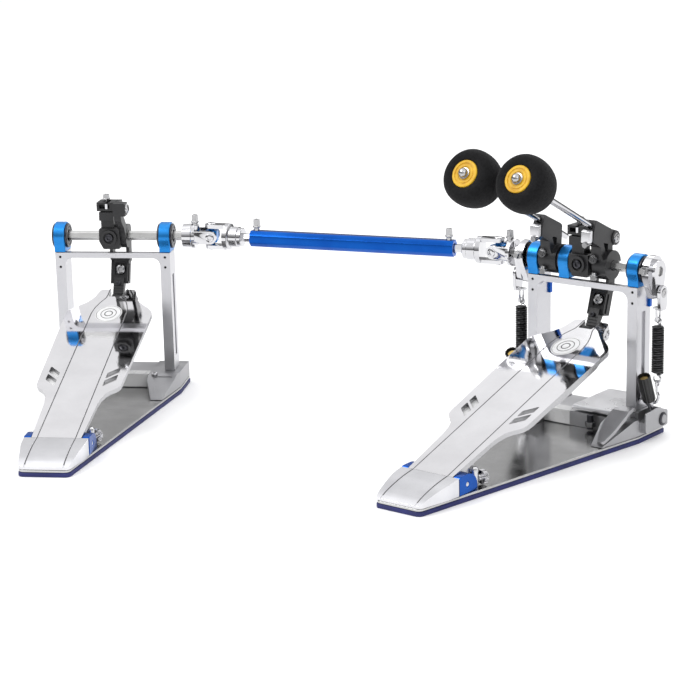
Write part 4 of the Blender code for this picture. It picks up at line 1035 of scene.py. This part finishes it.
def make_axle_fork(name, body, place, sign, hub_end):
    kit = Kit(name, body, place)
    centre = Vector((sign * JOINT_X, 0, AXLE_Z))
    out = Vector((sign, 0, 0))
    reach = JOINT_X - FORK_REACH
    deep = reach - hub_end
    rim = min(0.0036, deep - 0.001)
    profile = [(0, 0), (FORK_R, 0), (FORK_R, rim), (0.0134, rim + 0.0009), (0.0125, deep), (0, deep)]
    hub = lathe((sign * reach, *AXLE), -out, profile, 56)
    for side in (-1, 1):
        hub = join(hub, fork_arm(centre, -out, (0, 1, 0), side))
    hub = cut(hub, axle_bore(sign * 0.06, sign * (JOINT_X - 0.005)),
              rod(centre - Vector((0, 0.03, 0)), centre + Vector((0, 0.03, 0)), FORK_BORE, sides=32),
              box((sign * (reach - 0.005), -0.0006, AXLE_Z),
                  (sign * (hub_end - 0.001), 0.0006, AXLE_Z + 0.02)))
    kit.add(hub, "_body", "chrome", bevel=0.0008, segments=3, node="")
    for side, tag in ((-1, "front"), (1, "back")):
        kit.screw(centre + Vector((0, side * 0.0128, 0)), (0, side, 0), 0.0047, 0.002, "_pin_" + tag)
    key_x, key_y = sign * max(hub_end + 0.0045, reach - 0.0002), -0.0035
    kit.key_bolt((key_x, key_y, AXLE_Z + 0.0118), (0, 0, 1), "_key", 0.012)
    boss = lathe((key_x, key_y, AXLE_Z + 0.006), (0, 0, 1), disc(0.0048, 0.0066), 32)
    kit.add(boss, "_boss", "chrome", bevel=0.0006)


def make_cross(name, place, centre):
    centre = Vector(centre)
    block = box(centre - Vector((0.0064,) * 3), centre + Vector((0.0064,) * 3))
    for pin in (Vector((0, 0.0131, 0)), Vector((0, 0, 0.0131))):
        block = join(block, rod(centre - pin, centre + pin, 0.0031))
    Kit(name, name, place).add(block, "_block", "blue", bevel=0.001, segments=3, node="")


def make_shaft_fork(name, place, centre, sign):
    kit = Kit(name, "shaft", place)
    inward = Vector((sign, 0, 0))
    profile = [(0, 0), (FORK_R, 0), (FORK_R, 0.005), (0.0125, 0.0062), (0.0112, 0.0066), (0.0112, 0.015),
               (0.01, 0.0156), (0.01, 0.0194), (0.0092, 0.02), (0, 0.02)]
    collar = lathe(centre + inward * FORK_REACH, inward, profile, 56)
    for side in (-1, 1):
        collar = join(collar, fork_arm(centre, inward, (0, 0, 1), side))
    collar = join(collar, hexagon(centre + inward * 0.036, centre + inward * 0.064, 0.008, 0.0))
    through = Vector((0, 0, 0.03))
    collar = cut(collar, rod(centre - through, centre + through, FORK_BORE))
    kit.add(collar, "_body", "chrome", bevel=0.0007, segments=3, node="")
    for side, tag in ((-1, "low"), (1, "top")):
        kit.screw(centre + Vector((0, 0, side * 0.0128)), (0, 0, side), 0.0047, 0.002, "_pin_" + tag)
    kit.key_bolt(centre + inward * 0.053 + Vector((0, 0, 0.0083)), (0, 0, 1), "_key", 0.0125)


def make_drive_shaft():
    right = Vector((-JOINT_X, 0, AXLE_Z))
    left = SLAVE @ Vector((JOINT_X, 0, AXLE_Z))
    span = left - right
    place = Matrix.Translation(right) @ Matrix.Rotation(math.atan2(span.y, span.x), 4, "Z")
    make_shaft_fork("main_shaft_fork", place, Vector((0, 0, 0)), 1)
    make_shaft_fork("slave_shaft_fork", place, Vector((span.length, 0, 0)), -1)
    flat, wide, inset = 0.004, 0.0085, 0.047
    section = [(wide, -flat), (wide, flat), (flat, wide), (-flat, wide), (-wide, flat), (-wide, -flat),
               (-flat, -wide), (flat, -wide)]
    body = slab("YZ", rounded(section, 0.0006, 2), inset, span.length - inset)
    body = cut(body, bar(0, span.length, (0, 0), 0.0052, 40))
    Kit("", "shaft", place).add(body, "tube_body", "deep_blue", bevel=0.0004, node="drive_tube")


# ---- build --------------------------------------------------------------------------------------
for pedal in ("main", "slave"):
    make_base(pedal)
    make_frame(pedal)
    make_housing(pedal, "left", -POST_X)
    make_housing(pedal, "right", POST_X)
    make_footboard(pedal)
    make_link(pedal)
make_housing("main", "centre", -0.0213)
make_cam("main", "main_drive")
make_cam("slave", "slave_drive")
make_axle("main_axle", "main_drive", -0.021, 0.0795)
make_axle("left_axle", "left_drive", -0.09, -0.0216)
make_axle("slave_axle", "slave_drive", -0.0672, 0.09, SLAVE)
make_holder("right", "main_drive", 0.019, 0.0128, 0.0284)
make_holder("left", "left_drive", -0.0405, -0.0494, -0.03)
make_beater("right", "main_drive", 0.019)
make_beater("left", "left_drive", -0.0405)
make_rocker("right", "main_drive", 1)
make_rocker("left", "left_drive", -1)
make_spring("right", 1)
make_spring("left", -1)
make_adjuster("right", 1, math.radians(23), 0.0)
make_adjuster("left", -1, math.radians(36.5), 0.019)
make_axle_fork("main_axle_fork", "left_drive", MAIN, -1, 0.0868)
make_axle_fork("slave_axle_fork", "slave_drive", SLAVE, 1, 0.077)
make_cross("main_cross", MAIN, (-JOINT_X, 0, AXLE_Z))
make_cross("slave_cross", SLAVE, (JOINT_X, 0, AXLE_Z))
make_drive_shaft()
make_clamp()


# ---- floor, lights and camera -------------------------------------------------------------------
floor = slab("XY", [(-12, -12), (12, -12), (12, 16), (-12, 16)], -0.02, 0.0)
floor.name = "floor"
floor.data.materials.append(LOOK["floor"])

world = bpy.data.worlds.new("studio")
bpy.context.scene.world = world
world.use_nodes = True
bpy.context.scene.view_settings.view_transform = "Standard"


def studio_sky(tree):
    """A bright ceiling over a darker horizon, with slow bands around it for the metals to mirror."""
    n = Nodes(tree, "Generated")
    back = tree.nodes["Background"]
    split = n.put("ShaderNodeSeparateXYZ")
    n.link(n.place, split.inputs[0])
    height = n.put("ShaderNodeValToRGB")
    stops = [(0.0, 0.12), (0.09, 0.13), (0.17, 0.32), (0.24, 0.42), (0.42, 0.8), (0.62, 1.25), (1.0, 1.7)]
    ramp = height.color_ramp.elements
    while len(ramp) < len(stops):
        ramp.new(0.5)
    for element, (position, level) in zip(ramp, stops):
        element.position = position
        element.color = (level, level, level * 1.01, 1)
    n.link(split.outputs["Z"], height.inputs["Fac"])
    around = n.put("ShaderNodeTexNoise", {"Scale": 1.6, "Detail": 1.0})
    n.link(n.place, around.inputs["Vector"])
    n.link(height.outputs["Color"], back.inputs["Color"])
    n.link(n.between(around.outputs["Fac"], 0.75, 1.2, 0.35, 0.65), back.inputs["Strength"])
    # the wall behind the object is plain and pale where it is seen directly
    wall = n.put("ShaderNodeBackground", {"Color": (*grey(0.93), 1)})
    seen = n.put("ShaderNodeLightPath")
    blend = n.put("ShaderNodeMixShader")
    n.link(seen.outputs["Is Camera Ray"], blend.inputs["Fac"])
    n.link(back.outputs[0], blend.inputs[1])
    n.link(wall.outputs[0], blend.inputs[2])
    n.link(blend.outputs[0], tree.nodes["World Output"].inputs["Surface"])


def area_light(name, place, size, power):
    """A soft light aimed at the middle of the object."""
    lamp = bpy.data.lights.new(name, "AREA")
    lamp.shape = "RECTANGLE"
    lamp.size, lamp.size_y = size
    lamp.energy = power
    obj = bpy.data.objects.new(name, lamp)
    bpy.context.scene.collection.objects.link(obj)
    obj.location = place
    obj.rotation_euler = (Vector((-0.2, -0.12, 0.1)) - Vector(place)).to_track_quat("-Z", "Y").to_euler()


def add_camera():
    """The photograph's view: a long lens, a little above the pedals and slightly rolled."""
    lens = bpy.data.cameras.new("camera")
    lens.sensor_width = 36.0
    lens.lens = 105.49
    eye = bpy.data.objects.new("camera", lens)
    bpy.context.scene.collection.objects.link(eye)
    yaw, pitch, roll = math.radians(38.48), math.radians(14.32), math.radians(-1.26)
    ahead = Vector((-math.sin(yaw) * math.cos(pitch), math.cos(yaw) * math.cos(pitch), -math.sin(pitch)))
    side = Vector((math.cos(yaw), math.sin(yaw), 0))
    above = side.cross(ahead)
    right = math.cos(roll) * side + math.sin(roll) * above
    up = -math.sin(roll) * side + math.cos(roll) * above
    turn = Matrix((right, up, -ahead)).transposed().to_4x4()
    eye.matrix_world = Matrix.Translation((1.05623, -1.71343, 0.59731)) @ turn
    bpy.context.scene.camera = eye


studio_sky(world.node_tree)
area_light("key", (-1.4, -1.6, 2.2), (1.6, 1.2), 30)
area_light("fill", (1.8, -1.2, 1.4), (1.4, 1.4), 9)
area_light("back", (-0.4, 1.9, 1.9), (2.2, 1.0), 14)
add_camera()
